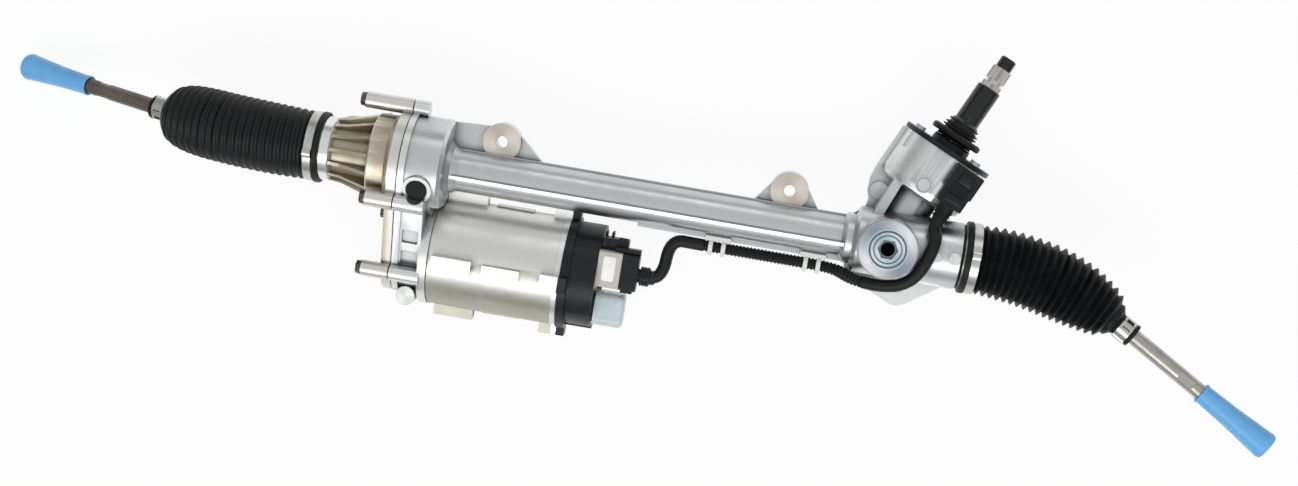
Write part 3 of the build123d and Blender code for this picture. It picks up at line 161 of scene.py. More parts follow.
# ---- rack housing -------------------------------------------------------------------------------
# Die-cast aluminium tube with the belt case, the pinion tower and three bolt lugs in one piece. It
# is shot-blasted after casting, and its bolt faces and the yoke boss are then turned bright.
rack_y, rack_z = -0.033, 0.015          # rack axis, metres
ear_x, ear_front = 0.136, 0.014
foot_x, foot_y, foot_front = -0.206, -0.1605, 0.010
yoke_x, boss_front = 0.2315, 0.059


def casting(name, colour, dark, corner_shade, roughness=0.34, grain_mm=0.8, depth=0.3, cloud_mm=34):
    """Blasted casting: pitted satin grain, cloudy patches, painted highlights on sharp edges, painted shade
    in corners.
    """
    made, tree = blank(name)
    spot = add(tree, "ShaderNodeTexCoord").outputs["Object"]
    clouds = add(tree, "ShaderNodeTexNoise", {"Vector": spot, "Scale": 1000 / cloud_mm, "Detail": 5.0,
                                              "Roughness": 0.62})
    grain = add(tree, "ShaderNodeTexNoise", {"Vector": spot, "Scale": 1000 / grain_mm, "Detail": 3.0,
                                             "Roughness": 0.65})
    ripple = add(tree, "ShaderNodeTexNoise", {"Vector": spot, "Scale": 1000 / 6.0, "Detail": 2.0})
    tint = add(tree, "ShaderNodeMix", {"Factor": clouds.outputs["Fac"], "A": linear(dark),
                                       "B": linear(colour)}, data_type="RGBA")
    # painted shade: corners within 8 mm of other metal darken towards the corner shade colour
    corner = add(tree, "ShaderNodeAmbientOcclusion", {"Distance": 0.008}, samples=4)
    unshaded_share = add(tree, "ShaderNodeMapRange", {"Value": corner.outputs["AO"], "From Min": 0.4,
                                                 "From Max": 0.93})
    tint = add(tree, "ShaderNodeMix", {"Factor": unshaded_share.outputs["Result"], "A": linear(corner_shade),
                                       "B": tint.outputs["Result"]}, data_type="RGBA")
    # painted highlight: sharp convex edges are lightened towards near white
    bend = add(tree, "ShaderNodeNewGeometry").outputs["Pointiness"]
    edge = add(tree, "ShaderNodeMapRange", {"Value": bend, "From Min": 0.515, "From Max": 0.56,
                                            "To Min": 0.0, "To Max": 0.6})
    highlighted_edges = add(tree, "ShaderNodeMix", {"Factor": edge.outputs["Result"], "A": tint.outputs["Result"],
                                         "B": linear("#F0F0EE")}, data_type="RGBA")
    gloss = add(tree, "ShaderNodeMapRange", {"Value": clouds.outputs["Fac"], "From Min": 0.3,
                                             "From Max": 0.7, "To Min": roughness + 0.07,
                                             "To Max": roughness - 0.06})
    skin = add(tree, "ShaderNodeMath", {0: grain.outputs["Fac"], 1: ripple.outputs["Fac"]}, operation="ADD")
    relief = add(tree, "ShaderNodeBump", {"Height": skin.outputs[0], "Strength": depth,
                                          "Distance": grain_mm / 4000})
    metal = add(tree, "ShaderNodeBsdfPrincipled", {"Base Color": highlighted_edges.outputs["Result"], "Metallic": 1.0,
                "Roughness": gloss.outputs["Result"], "Normal": relief.outputs["Normal"]})
    add(tree, "ShaderNodeOutputMaterial", {"Surface": metal.outputs[0]})
    return made


def machined(name, colour, dark, centre, roughness=0.24, pitch_mm=0.9, fan=0.0):
    """Turned face: fine circular tool marks about a line along Z, drawn coarse enough to show, with painted
    reflection spokes from the dark colour to the light one.
    """
    made, tree = blank(name)
    spot = add(tree, "ShaderNodeTexCoord").outputs["Object"]
    centred = add(tree, "ShaderNodeMapping", {"Vector": spot, "Location": tuple(-c for c in centre)})
    marks = add(tree, "ShaderNodeTexWave", {"Vector": centred.outputs[0], "Scale": 1000 / pitch_mm / math.pi,
                                            "Distortion": 0.4, "Detail": 1.0},
                wave_type="RINGS", rings_direction="Z")
    smears = add(tree, "ShaderNodeTexNoise", {"Vector": spot, "Scale": 1000 / 9.0, "Detail": 3.0})
    # painted reflection: the tint swings from dark to light in soft spokes round the centre, in place of the
    # sheen that fans out from a turned face
    around = add(tree, "ShaderNodeTexGradient", {"Vector": centred.outputs[0]}, gradient_type="RADIAL")
    reflection_spokes = add(tree, "ShaderNodeMath", {0: around.outputs["Fac"], 1: 4 * math.pi}, operation="MULTIPLY")
    reflection_spokes = add(tree, "ShaderNodeMath", {0: reflection_spokes.outputs[0]}, operation="SINE")
    reflection_spokes = add(tree, "ShaderNodeMapRange", {"Value": reflection_spokes.outputs[0], "From Min": -1.0, "To Min": fan})
    tint = add(tree, "ShaderNodeMix", {"Factor": reflection_spokes.outputs["Result"], "A": linear(dark),
                                       "B": linear(colour)}, data_type="RGBA")
    gloss = add(tree, "ShaderNodeMapRange", {"Value": smears.outputs["Fac"], "From Min": 0.3,
                                             "From Max": 0.7, "To Min": roughness - 0.05,
                                             "To Max": roughness + 0.08})
    relief = add(tree, "ShaderNodeBump", {"Height": marks.outputs["Fac"], "Strength": 0.25,
                                          "Distance": 0.0001})
    round_z = add(tree, "ShaderNodeTangent", direction_type="RADIAL", axis="Z")
    metal = add(tree, "ShaderNodeBsdfPrincipled", {"Base Color": tint.outputs["Result"], "Metallic": 1.0,
                "Roughness": gloss.outputs["Result"], "Normal": relief.outputs["Normal"],
                "Anisotropic": 0.55, "Tangent": round_z.outputs[0]})
    add(tree, "ShaderNodeOutputMaterial", {"Surface": metal.outputs[0]})
    return made


def finish_cad(material, *nodes):
    """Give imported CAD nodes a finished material."""
    for name in nodes:
        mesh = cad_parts[name].data
        for i in range(len(mesh.materials)):
            mesh.materials[i] = material


def tidy(piece, smooth_angle=30):
    """Merge doubles, turn faces outwards and shade smooth up to an angle."""
    work = bmesh.new()
    work.from_mesh(piece.data)
    bmesh.ops.remove_doubles(work, verts=work.verts, dist=1e-6)
    bmesh.ops.recalc_face_normals(work, faces=work.faces)
    work.to_mesh(piece.data)
    work.free()
    piece.data.shade_smooth()
    piece.data.set_sharp_from_angle(angle=math.radians(smooth_angle))
    return piece


def turned(name, profile, origin, along, material, body, steps=96, smooth_angle=30):
    """Closed ring or disc turned about a line, from (along, radius) pairs in metres."""
    along = Vector(along).normalized()
    side = along.orthogonal().normalized()
    other = along.cross(side)
    verts, faces = [], []
    for reach, radius in profile:
        for i in range(steps):
            angle = 2 * math.pi * i / steps
            spoke = side * math.cos(angle) + other * math.sin(angle)
            verts.append(Vector(origin) + along * reach + spoke * radius)
    solid_core = profile[0][1] == 0 and profile[-1][1] == 0
    for row in range(len(profile) - (1 if solid_core else 0)):
        after = (row + 1) % len(profile)
        for i in range(steps):
            j = (i + 1) % steps
            faces.append((row * steps + i, row * steps + j, after * steps + j, after * steps + i))
    piece = tidy(show(name, verts, faces), smooth_angle)
    piece.data.materials.append(material)
    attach(piece, body)
    return piece


# blasted skin: bright, softly mottled, with a painted highlight on its sharp edges and painted shade in its
# corners
blasted_casting = casting("die-cast aluminium, shot-blasted", "#D6D8D9", "#BDBFC0", "#8B8D8B")
finish_cad(blasted_casting, "rack_housing")
face_depth = 0.00015                    # how far the drawn tool marks stand off a face
# turned face: a tight circular sheen, with painted reflection spokes that swing from bright to grey-blue
# round the ring
boss_metal = machined("aluminium, face-turned", "#F2F5F8", "#9AA3AC", (yoke_x, rack_y, 0.0))
turned("yoke_boss_face", ((0, 0.0190), (0, 0.0264), (face_depth, 0.0262), (face_depth, 0.0192)),
       (yoke_x, rack_y, boss_front), (0, 0, 1), boss_metal, "housing")
for name, x in (("left", -ear_x), ("right", ear_x)):
    # milled ear faces are duller and hold a beige film of washing oil, with faint painted reflection spokes
    ear_metal = machined(name + " ear, aluminium, milled", "#D8D0C6", "#C4BBB0", (x, 0.0, 0.0),
                         roughness=0.4)
    turned(name + "_ear_face", ((0, 0.0060), (0, 0.0174), (face_depth, 0.0172), (face_depth, 0.0062)),
           (x, 0.0, ear_front), (0, 0, 1), ear_metal, "housing")
# spot-faced foot: dull pale metal with close rings and faint painted reflection spokes
foot_metal = machined("aluminium, spot-faced", "#E6E8E0", "#D6D9D0", (foot_x, foot_y, 0.0), roughness=0.5)
turned("foot_face", ((0, 0.0), (0, 0.0087), (face_depth, 0.0085), (face_depth, 0.0)),
       (foot_x, foot_y, foot_front), (0, 0, 1), foot_metal, "housing")

# ---- gear cover, its bolts and gasket -----------------------------------------------------------
# Die-cast cover over the belt drive, yellow-passivated against salt and turned bright where the
# boot sits. Six flanged bolts hold it on a printed rubber gasket, with a rubber plug beside them.
collar_right = -0.2905                  # end of the bright turned stretch beside the boot


def skin_of(material):
    """Shader node of a finish."""
    return next(node for node in material.node_tree.nodes if node.type == "BSDF_PRINCIPLED")


def tint_over(material, share, colour):
    """Lay a colour over a finish, by a share from 0 to 1."""
    tree, skin = material.node_tree, skin_of(material)
    tint = add(tree, "ShaderNodeMix", {"Factor": share, "A": skin.inputs["Base Color"].links[0].from_socket,
                                       "B": linear(colour)}, data_type="RGBA")
    tree.links.new(tint.outputs["Result"], skin.inputs["Base Color"])


# passivated skin: champagne where it is open, with olive brown painted shade in its corners and between the
# ribs
champagne_casting = casting("die-cast aluminium, yellow-passivated", "#C9C1AF", "#A99F8A", "#6E6448",
                            roughness=0.36)
tree, skin = champagne_casting.node_tree, skin_of(champagne_casting)
spot = add(tree, "ShaderNodeTexCoord").outputs["Object"]
along_rack = add(tree, "ShaderNodeSeparateXYZ", {0: spot}).outputs["X"]
bright = add(tree, "ShaderNodeMapRange", {"Value": along_rack, "From Min": collar_right,
                                          "From Max": collar_right - 0.0003})
tint_over(champagne_casting, bright.outputs["Result"], "#E9EAE8")
turned_gloss = add(tree, "ShaderNodeMix", {"Factor": bright.outputs["Result"],
                                           "A": skin.inputs["Roughness"].links[0].from_socket, "B": 0.2},
                   data_type="FLOAT")
tree.links.new(turned_gloss.outputs["Result"], skin.inputs["Roughness"])
finish_cad(champagne_casting, "gear_cover")


def moulded(name, colour, roughness=0.45, grain_mm=0.6, depth=0.12, coat=0.0, soft=0.0, metal=0.0,
            bloom=None, shine=0.5):
    """Moulded, rolled or ground surface: fine even texture, patchy gloss, and a bloom in its patches."""
    made, tree = blank(name)
    spot = add(tree, "ShaderNodeTexCoord").outputs["Object"]
    grain = add(tree, "ShaderNodeTexNoise", {"Vector": spot, "Scale": 1000 / grain_mm, "Detail": 2.0})
    clouds = add(tree, "ShaderNodeTexNoise", {"Vector": spot, "Scale": 1000 / 20, "Detail": 4.0,
                                              "Roughness": 0.6})
    patch = add(tree, "ShaderNodeMapRange", {"Value": clouds.outputs["Fac"], "From Min": 0.32,
                                             "From Max": 0.68})
    gloss = add(tree, "ShaderNodeMapRange", {"Value": patch.outputs["Result"], "To Min": roughness - 0.05,
                                             "To Max": roughness + 0.06})
    tint = add(tree, "ShaderNodeMix", {"Factor": patch.outputs["Result"], "A": linear(colour),
                                       "B": linear(bloom or colour)}, data_type="RGBA")
    relief = add(tree, "ShaderNodeBump", {"Height": grain.outputs["Fac"], "Strength": depth,
                                          "Distance": grain_mm / 4000})
    skin = add(tree, "ShaderNodeBsdfPrincipled", {"Base Color": tint.outputs["Result"], "Metallic": metal,
               "Roughness": gloss.outputs["Result"], "Normal": relief.outputs["Normal"],
               "Coat Weight": coat, "Coat Roughness": 0.12, "Subsurface Weight": soft,
               "Subsurface Scale": 0.004, "Specular IOR Level": shine})
    add(tree, "ShaderNodeOutputMaterial", {"Surface": skin.outputs[0]})
    return made


# moulded rubber: near black, with a faint grey bloom of wax in patches
black_rubber = moulded("EPDM rubber, moulded", "#0D0E0F", 0.5, bloom="#18191A", shine=0.25)
# phosphated bolts: grey-black with a dry oily sheen
phosphated_steel = moulded("steel, manganese-phosphated", "#5D5954", 0.42, metal=1.0, bloom="#4B4844")
finish_cad(black_rubber, "cover_gasket", "access_plug", "drive_belt", "bump_stops")
finish_cad(phosphated_steel, "cover_bolts", "torsion_bar")

# ---- belt drive and bearings --------------------------------------------------------------------
# Ball nut on the rack's screw with its toothed pulley, the motor's small pulley, and the rolling
# bearings. Ground and polished bearing steel, greased.

# ground bearing steel: near-mirror grey with a fine grain
ground_steel = moulded("bearing steel, ground", "#C6C7C7", 0.26, metal=1.0, bloom="#B7B7B5")
# pulley nylon: black, glass fibres roughen it slightly
black_nylon = moulded("glass-filled nylon, moulded", "#101114", 0.40, bloom="#17181B", shine=0.3)
finish_cad(ground_steel, "motor_bearings", "motor_shaft", "motor_pulley", "ball_nut", "ball_nut_bearing",
           "bearing_retainer", "pinion", "pinion_upper_bearing", "pinion_lower_bearing", "yoke_spring",
           "mount_bushes")
finish_cad(black_nylon, "large_pulley")

# ---- motor --------------------------------------------------------------------------------------
# Brushless motor beside the rack: cast flange and can with four rows of lugs, and inside them a
# laminated stator and rotor. Short zinc-plated bolts run from the flange into the can's front lugs.
# painted shade on the can's lower side: where it starts and is full, its ragged edge, and the width of its
# patches
shade_top, shade_full, shade_ragged = -0.110, -0.138, 0.03    # where it starts and is full, and its edge
shade_patch_mm = 26                           # width of its runs

# the can's casting is a warmer grey than the housing, with broad cloudy patches and painted shade in its
# corners
warm_casting = casting("die-cast aluminium, tumbled", "#CFCEC7", "#A8A69C", "#8A887E", roughness=0.37,
                       cloud_mm=42)
# painted shade: the can's lower side is darkened to a dull olive beige, with a ragged edge
tree = warm_casting.node_tree
spot = add(tree, "ShaderNodeTexCoord").outputs["Object"]
runs = add(tree, "ShaderNodeTexNoise", {"Vector": spot, "Scale": 1000 / shade_patch_mm, "Detail": 6.0,
                                        "Roughness": 0.7})
ragged = add(tree, "ShaderNodeMath", {0: runs.outputs["Fac"], 1: shade_ragged,
                                      2: add(tree, "ShaderNodeSeparateXYZ", {0: spot}).outputs["Y"]},
             operation="MULTIPLY_ADD")
lower_side_shade = add(tree, "ShaderNodeMapRange", {"Value": ragged.outputs[0], "From Min": shade_top,
                                           "From Max": shade_full})
tint_over(warm_casting, lower_side_shade.outputs["Result"], "#AEADA0")
# plated bolts: bright with a bluish tint that drifts over the surface
zinc_plated = moulded("steel, blue zinc-plated", "#C3CDD6", 0.27, metal=1.0, bloom="#AFBBC0")
# stacked laminations: dull grey varnished steel
stacked_steel = moulded("electrical steel, stacked and varnished", "#7C7A78", 0.5, metal=1.0,
                        bloom="#6A625A")
finish_cad(warm_casting, "motor_flange", "motor_can")
finish_cad(blasted_casting, "ecu_plate")
finish_cad(zinc_plated, "motor_bolts", "pinion_cap")
finish_cad(stacked_steel, "motor_stator", "rotor")

# ---- controller and its connectors --------------------------------------------------------------
# Electronics on the motor's end under a black moulded cover. A cream signal block takes the sensor
# plug, a small service connector sits above it, and a clear cap keeps dirt out of the power socket.
block_y, block_z, block_front = -0.0995, 0.019, 0.030
sticker_half_u, sticker_half_v, sticker_corner_r = 0.0038, 0.0095, 0.0021
service_x, service_y = -0.0152, -0.0766     # middle of the service connector
gland_x, gland_y = 0.0122, -0.1015


def prism(name, outline, origin, across, upward, depth, bevel, material, body, parts=2):
    """Closed bar with rounded edges: an outline in a plane, raised along the plane's normal."""
    across, upward = Vector(across).normalized(), Vector(upward).normalized()
    out = across.cross(upward)
    base = [Vector(origin) + across * u + upward * v for u, v in outline]
    count = len(base)
    faces = [tuple(range(count))[::-1], tuple(range(count, 2 * count))]
    faces += [(i, (i + 1) % count, (i + 1) % count + count, i + count) for i in range(count)]
    piece = show(name, base + [p + out * depth for p in base], faces)
    work = bmesh.new()
    work.from_mesh(piece.data)
    bmesh.ops.recalc_face_normals(work, faces=work.faces)
    bmesh.ops.bevel(work, geom=work.edges[:], offset=bevel, segments=parts, affect="EDGES", profile=0.5)
    work.to_mesh(piece.data)
    work.free()
    tidy(piece, 40)
    piece.data.materials.append(material)
    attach(piece, body)
    return piece


def oblong(width, height, shift=(0.0, 0.0)):
    """Corners of a rectangle about a point."""
    u, v = shift
    return [(u - width / 2, v - height / 2), (u + width / 2, v - height / 2),
            (u + width / 2, v + height / 2), (u - width / 2, v + height / 2)]


# cover nylon: black with a blue cast and a soft satin sheen
cover_nylon = moulded("glass-filled nylon, satin-moulded", "#101215", 0.36, bloom="#181A1E", shine=0.3)
# signal block: warm pale grey, slightly waxy
cream_nylon = moulded("PBT, moulded", "#C4C2BA", 0.5, soft=0.1, bloom="#BAB7AD")
# bare sticker: white coated paper
sticker = moulded("coated paper, printed blank", "#F4F4F2", 0.35)
# cap: milky clear polyethylene with a pale blue tint
clear_cap = moulded("polyethylene, blow-moulded", "#DCEEF4", 0.24, bloom="#EAF5F8")
skin_of(clear_cap).inputs["Transmission Weight"].default_value = 0.35
# board: green solder mask
green_board = moulded("glass-epoxy board, solder-masked", "#1E4D31", 0.4, bloom="#235638")
finish_cad(cover_nylon, "ecu_cover", "power_connector")
finish_cad(black_nylon, "ecu_plug")
finish_cad(cream_nylon, "ecu_connector_block")
finish_cad(clear_cap, "power_connector_cap")
finish_cad(green_board, "ecu_board")

sticker_outline = [
    (sticker_corner_r * math.cos(math.radians(first + turn)) + u * sticker_half_u,
     sticker_corner_r * math.sin(math.radians(first + turn)) + v * sticker_half_v)
    for u, v, first in ((1, 1, 0), (-1, 1, 90), (-1, -1, 180), (1, -1, 270)) for turn in (0, 30, 60, 90)]
prism("block_sticker", sticker_outline, (-0.0172, block_y + 0.001, block_front - 0.0001),
      (1, 0, 0), (0, 1, 0), 0.0004, 0.0001, sticker, "housing")
# service connector above the block: shell, lock rib and two posts towards the rack
for part, size, place, depth, bevel in (
        ("", (0.0250, 0.0112), (0.0, 0.0, 0.003), 0.0165, 0.0012),
        ("_lock", (0.0090, 0.0040), (0.0067, 0.0050, 0.012), 0.0050, 0.0008),
        ("_post_1", (0.0024, 0.0052), (-0.0104, 0.0073, -0.004), 0.0130, 0.0006),
        ("_post_2", (0.0024, 0.0052), (-0.0043, 0.0073, -0.004), 0.0130, 0.0006)):
    prism("service_connector" + part, oblong(*size), (service_x + place[0], service_y + place[1], place[2]),
          (1, 0, 0), (0, 1, 0), depth, bevel, cover_nylon, "housing")


def shape_tree(name, inputs):
    """New geometry tree with its named inputs and one output, and the sockets of its inputs."""
    tree = bpy.data.node_groups.new(name, "GeometryNodeTree")
    for label, kind in inputs:
        tree.interface.new_socket(label, in_out="INPUT", socket_type="NodeSocket" + kind)
    tree.interface.new_socket("Geometry", in_out="OUTPUT", socket_type="NodeSocketGeometry")
    return tree, tree.nodes.new("NodeGroupInput").outputs


def end_tree(tree, shape, finish):
    """End a geometry tree with its shape as real mesh, in its finish."""
    shape = add(tree, "GeometryNodeRealizeInstances", {"Geometry": shape})
    shape = add(tree, "GeometryNodeSetMaterial", {"Geometry": shape.outputs[0], "Material": finish})
    add(tree, "NodeGroupOutput", {"Geometry": shape.outputs[0]})


def evaluated_mesh(piece):
    """Plain mesh of a piece as its modifiers leave it."""
    bpy.context.view_layer.update()
    return bpy.data.meshes.new_from_object(piece.evaluated_get(bpy.context.evaluated_depsgraph_get()))


def grown(name, tree, body, seed=None, smooth_angle=40, **values):
    """Piece made by a geometry tree, with its named inputs filled. With no body it isn't finished yet."""
    base = bpy.data.objects.new(name + "_seed", seed or bpy.data.meshes.new(name + "_seed"))
    bpy.context.scene.collection.objects.link(base)
    nodes = base.modifiers.new("shape", "NODES")
    nodes.node_group = tree
    for item in tree.interface.items_tree:
        if item.in_out == "INPUT" and item.name in values:
            nodes[item.identifier] = values[item.name]
    mesh = evaluated_mesh(base)
    mesh.name = name
    base.modifiers.remove(nodes)
    bpy.data.objects.remove(base)
    piece = bpy.data.objects.new(name, mesh)
    bpy.context.scene.collection.objects.link(piece)
    if body:
        tidy(piece, smooth_angle)
        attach(piece, body)
    return piece


# grip ribs: a row of thin bars, one tree for every ribbed grip
rib_row, given = shape_tree("rib_row", (("First", "Vector"), ("Step", "Vector"), ("Count", "Int"),
                                        ("Rib Size", "Vector"), ("Finish", "Material")))
places = add(rib_row, "GeometryNodeMeshLine", {"Count": given["Count"], "Start Location": given["First"],
                                               "Offset": given["Step"]})
bar = add(rib_row, "GeometryNodeMeshCube", {"Size": given["Rib Size"]})
bars = add(rib_row, "GeometryNodeInstanceOnPoints", {"Points": places.outputs[0],
                                                     "Instance": bar.outputs[0]})
end_tree(rib_row, bars.outputs[0], given["Finish"])
grown("plug_grip", rib_row, "housing", First=(-0.0035, -0.0985, 0.0290), Step=(0.0028, 0, 0), Count=5,
      Finish=black_nylon, **{"Rib Size": (0.0010, 0.0200, 0.0014)})
grown("cover_end_ribs", rib_row, "housing", First=(-0.0275, -0.0770, 0.0010), Step=(0, -0.0062, -0.0040),
      Count=3, Finish=cover_nylon, **{"Rib Size": (0.0030, 0.0012, 0.0180)})
# gland nut: three ridges and a short tapered collar on the cable
gland_profile = ((0, 0.0060), (0, 0.0084), (0.0008, 0.0092), (0.0018, 0.0092), (0.0024, 0.0087),
                 (0.0032, 0.0087), (0.0038, 0.0092), (0.0048, 0.0092), (0.0054, 0.0087), (0.0062, 0.0087),
                 (0.0068, 0.0092), (0.0082, 0.0092), (0.0090, 0.0080), (0.0098, 0.0068), (0.0135, 0.0066),
                 (0.0140, 0.0060))
turned("plug_gland_nut", gland_profile, (gland_x, gland_y, block_z), (1, 0, 0), black_nylon, "housing",
       steps=48)

# ---- pinion tower and input shaft ---------------------------------------------------------------
# The torque sensor closes the tower with a black moulded lid and three screws. Above it a shield
# and a sleeve cover the steel input shaft up to its serrations, and a cap protects the shaft's end.
pinion_base = Vector((yoke_x, rack_y, rack_z - 0.0167))
pinion_tilt = math.radians(24)          # from square across the rack
pinion_way = Vector((math.sin(pinion_tilt), math.cos(pinion_tilt), 0.0))
pinion_right = Vector((math.cos(pinion_tilt), -math.sin(pinion_tilt), 0.0))

# sleeve: glossy black moulding with a hard clear shine
glossy_nylon = moulded("nylon, gloss-moulded", "#08090A", 0.16, coat=0.3, bloom="#0E0F10", shine=0.35)
# shaft: turned steel, bright
turned_steel = moulded("steel, turned", "#CFCDC8", 0.22, metal=1.0, bloom="#BDBAB3")
finish_cad(cover_nylon, "sensor_cover")
finish_cad(black_rubber, "input_shaft_seal", "dust_shield")
finish_cad(glossy_nylon, "shaft_sleeve", "shaft_tip_cap")
finish_cad(zinc_plated, "sensor_cover_screws")
finish_cad(turned_steel, "input_shaft")

# shaft serrations: a many-pointed star drawn along the shaft
serrated, given = shape_tree("serrated_band", (("Start", "Vector"), ("End", "Vector"), ("Teeth", "Int"),
                                               ("Root Radius", "Float"), ("Tip Radius", "Float"),
                                               ("Finish", "Material")))
axis_line = add(serrated, "GeometryNodeCurvePrimitiveLine", {"Start": given["Start"], "End": given["End"]})
star = add(serrated, "GeometryNodeCurveStar", {"Points": given["Teeth"],
                                               "Inner Radius": given["Root Radius"],
                                               "Outer Radius": given["Tip Radius"]})
band = add(serrated, "GeometryNodeCurveToMesh", {"Curve": axis_line.outputs[0],
                                                 "Profile Curve": star.outputs[0], "Fill Caps": True})
end_tree(serrated, band.outputs[0], given["Finish"])
serration_count, serration_depth = 40, 0.0005
for name, first, last, root in (("lower", 0.1713, 0.1757, 0.00902), ("upper", 0.1792, 0.1915, 0.00882)):
    grown(name + "_shaft_serrations", serrated, "input_shaft", smooth_angle=15,
          Start=pinion_base + pinion_way * first, End=pinion_base + pinion_way * last,
          Teeth=serration_count, Finish=turned_steel,
          **{"Root Radius": root, "Tip Radius": root + serration_depth})
# rubber lips close the gap between lid and shield, one on each side of it
turned("lid_lip", ((0.1087, 0.0095), (0.1087, 0.0150), (0.1103, 0.0154), (0.1103, 0.0182),
                   (0.1110, 0.0186), (0.1118, 0.0178), (0.1118, 0.0095)),
       pinion_base, pinion_way, black_rubber, "housing", steps=64)
turned("shield_lip", ((0.1121, 0.0131), (0.1121, 0.0172), (0.1128, 0.0180), (0.1136, 0.0170),
                      (0.1144, 0.0176), (0.1144, 0.0131)),
       pinion_base, pinion_way, black_rubber, "input_shaft", steps=64)
# moulding ridge along the sleeve, and ribs round its foot
ridge_length = 0.0355
ridge_start = pinion_base + pinion_way * 0.1340 + Vector((0, 0, 0.0114)) - pinion_right * 0.0015
prism("sleeve_ridge", oblong(0.0016, ridge_length, (0, ridge_length / 2)), ridge_start, pinion_right,
      pinion_way, 0.0010, 0.0003, glossy_nylon, "input_shaft")
for i, (reach, radius) in enumerate(((0.1218, 0.0172), (0.1248, 0.0166), (0.1290, 0.0150))):
    turned(f"shield_ring_{i + 1}", ((0, 0.0136), (0.0002, radius), (0.0011, radius + 0.0004),
                                    (0.0018, radius), (0.0020, 0.0136)),
           pinion_base + pinion_way * reach, pinion_way, black_rubber, "input_shaft", steps=64)

# ---- yoke ---------------------------------------------------------------------------------------
# Nylon yoke that presses the rack against the pinion, its spring, and the threaded steel plug that
# sets it, zinc-plated, with two turned grooves and a hexagon.
plug_front = 0.0584
# plated plug: icy bright rings with painted reflection spokes, painted shade in its grooves, and black
# painted shade in its socket
plug_metal = machined("steel, turned and zinc-plated", "#E6F0F4", "#BCCDD6", (yoke_x, rack_y, 0.0),
                      roughness=0.2, pitch_mm=0.7)
tree = plug_metal.node_tree
spot = add(tree, "ShaderNodeTexCoord").outputs["Object"]
height = add(tree, "ShaderNodeSeparateXYZ", {0: spot}).outputs["Z"]
# painted shade: depths below its front at which the grooves darken, and then the socket turns black
for shallow, deep, colour in ((0.0003, 0.0006, "#6F7C86"), (0.0026, 0.0032, "#08090A")):
    painted_shade_depth = add(tree, "ShaderNodeMapRange", {"Value": height, "From Min": plug_front - shallow,
                                            "From Max": plug_front - deep})
    tint_over(plug_metal, painted_shade_depth.outputs["Result"], colour)
# white nylon: slightly translucent, satin
white_nylon = moulded("nylon, natural", "#E2E2DF", 0.4, soft=0.1)
finish_cad(plug_metal, "yoke_plug")
finish_cad(white_nylon, "yoke", "left_ball_seat", "right_ball_seat")

# ---- sensor connector ---------------------------------------------------------------------------
# Black plug in the tower's side pocket: a lock bar and grip ribs on its front, and a ribbed strain
# relief where the cable enters.
connector_across, connector_front = 0.024, 0.051
nozzle_front, nozzle_end = 0.044, 0.056
grip_start, grip_pitch = 0.0765, 0.0024
finish_cad(cover_nylon, "sensor_connector")


def on_tower(along, across, out):
    """Point by its place along the pinion, to the right of it and in front of it."""
    return pinion_base + pinion_way * along + pinion_right * across + Vector((0, 0, out))


prism("connector_lock", oblong(0.0130, 0.0100),
      on_tower(0.0900, connector_across, connector_front - 0.0005), pinion_right, pinion_way,
      0.0028, 0.0010, cover_nylon, "housing")
prism("connector_step", oblong(0.0170, 0.0080),
      on_tower(0.0695, connector_across + 0.001, connector_front - 0.003), pinion_right, pinion_way,
      0.0040, 0.0012, black_nylon, "housing")
for i in range(4):
    prism(f"connector_grip_{i + 1}", oblong(0.0190, 0.0011),
          on_tower(grip_start + grip_pitch * i, connector_across, connector_front - 0.0004), pinion_right,
          pinion_way, 0.0014, 0.0003, black_nylon, "housing", parts=1)
relief_profile = ((0, 0.0060), (0, 0.0078), (0.0024, 0.0078), (0.0028, 0.0070), (0.0042, 0.0070),
                  (0.0046, 0.0077), (0.0060, 0.0077), (0.0064, 0.0068), (0.0078, 0.0068), (0.0082, 0.0075),
                  (0.0096, 0.0075), (0.0100, 0.0064), (0.0125, 0.0062), (0.0125, 0.0060))
turned("connector_strain_relief", relief_profile,
       on_tower(nozzle_end + 0.002, connector_across, nozzle_front), -pinion_way, black_rubber, "housing",
       steps=48)

# ---- sensor cable -------------------------------------------------------------------------------
# The sensor's wires run in a nylon conduit, from the controller's plug along the tube and round the
# yoke boss. It is corrugated where the clips hold it and taped smooth at both ends. Its folds are
# drawn a little coarse so that they show.
cable_r, cable_groove, conduit_pitch = 0.0058, 0.0012, 0.0034
cable_route = ((0.0211, -0.1015, 0.019), (0.0331, -0.1015, 0.019), (0.0345, -0.0624, 0.0182),
               (0.06, -0.0629, 0.0181), (0.1, -0.0629, 0.018), (0.142, -0.0629, 0.018),
               (0.189, -0.063, 0.0186), (0.203, -0.0678, 0.0342), (0.221, -0.0694, 0.0395),
               (0.236, -0.0684, 0.0435),
               (0.25, -0.0644, 0.0475), (0.262, -0.0535, 0.052), (0.2695, -0.035, 0.0545),
               (0.2735, -0.015, 0.052), (0.2689, -0.008, 0.0423), (0.2762, 0.0084, 0.0423))
corrugated_from, corrugated_to = 0.066, 0.215   # stretch along the rack that is bare conduit
conduit_step = 0.00055                          # between its drawn rings

route = bpy.data.curves.new("cable_route", "CURVE")
route.dimensions, route.resolution_u = "3D", 24
line = route.splines.new("NURBS")
line.points.add(len(cable_route) - 1)
for point, place in zip(line.points, cable_route):
    point.co = (*place, 1.0)
line.order_u, line.use_endpoint_u = 3, True
drawn = bpy.data.objects.new("cable_route", route)
bpy.context.scene.collection.objects.link(drawn)
path = evaluated_mesh(drawn)
bpy.data.objects.remove(drawn)

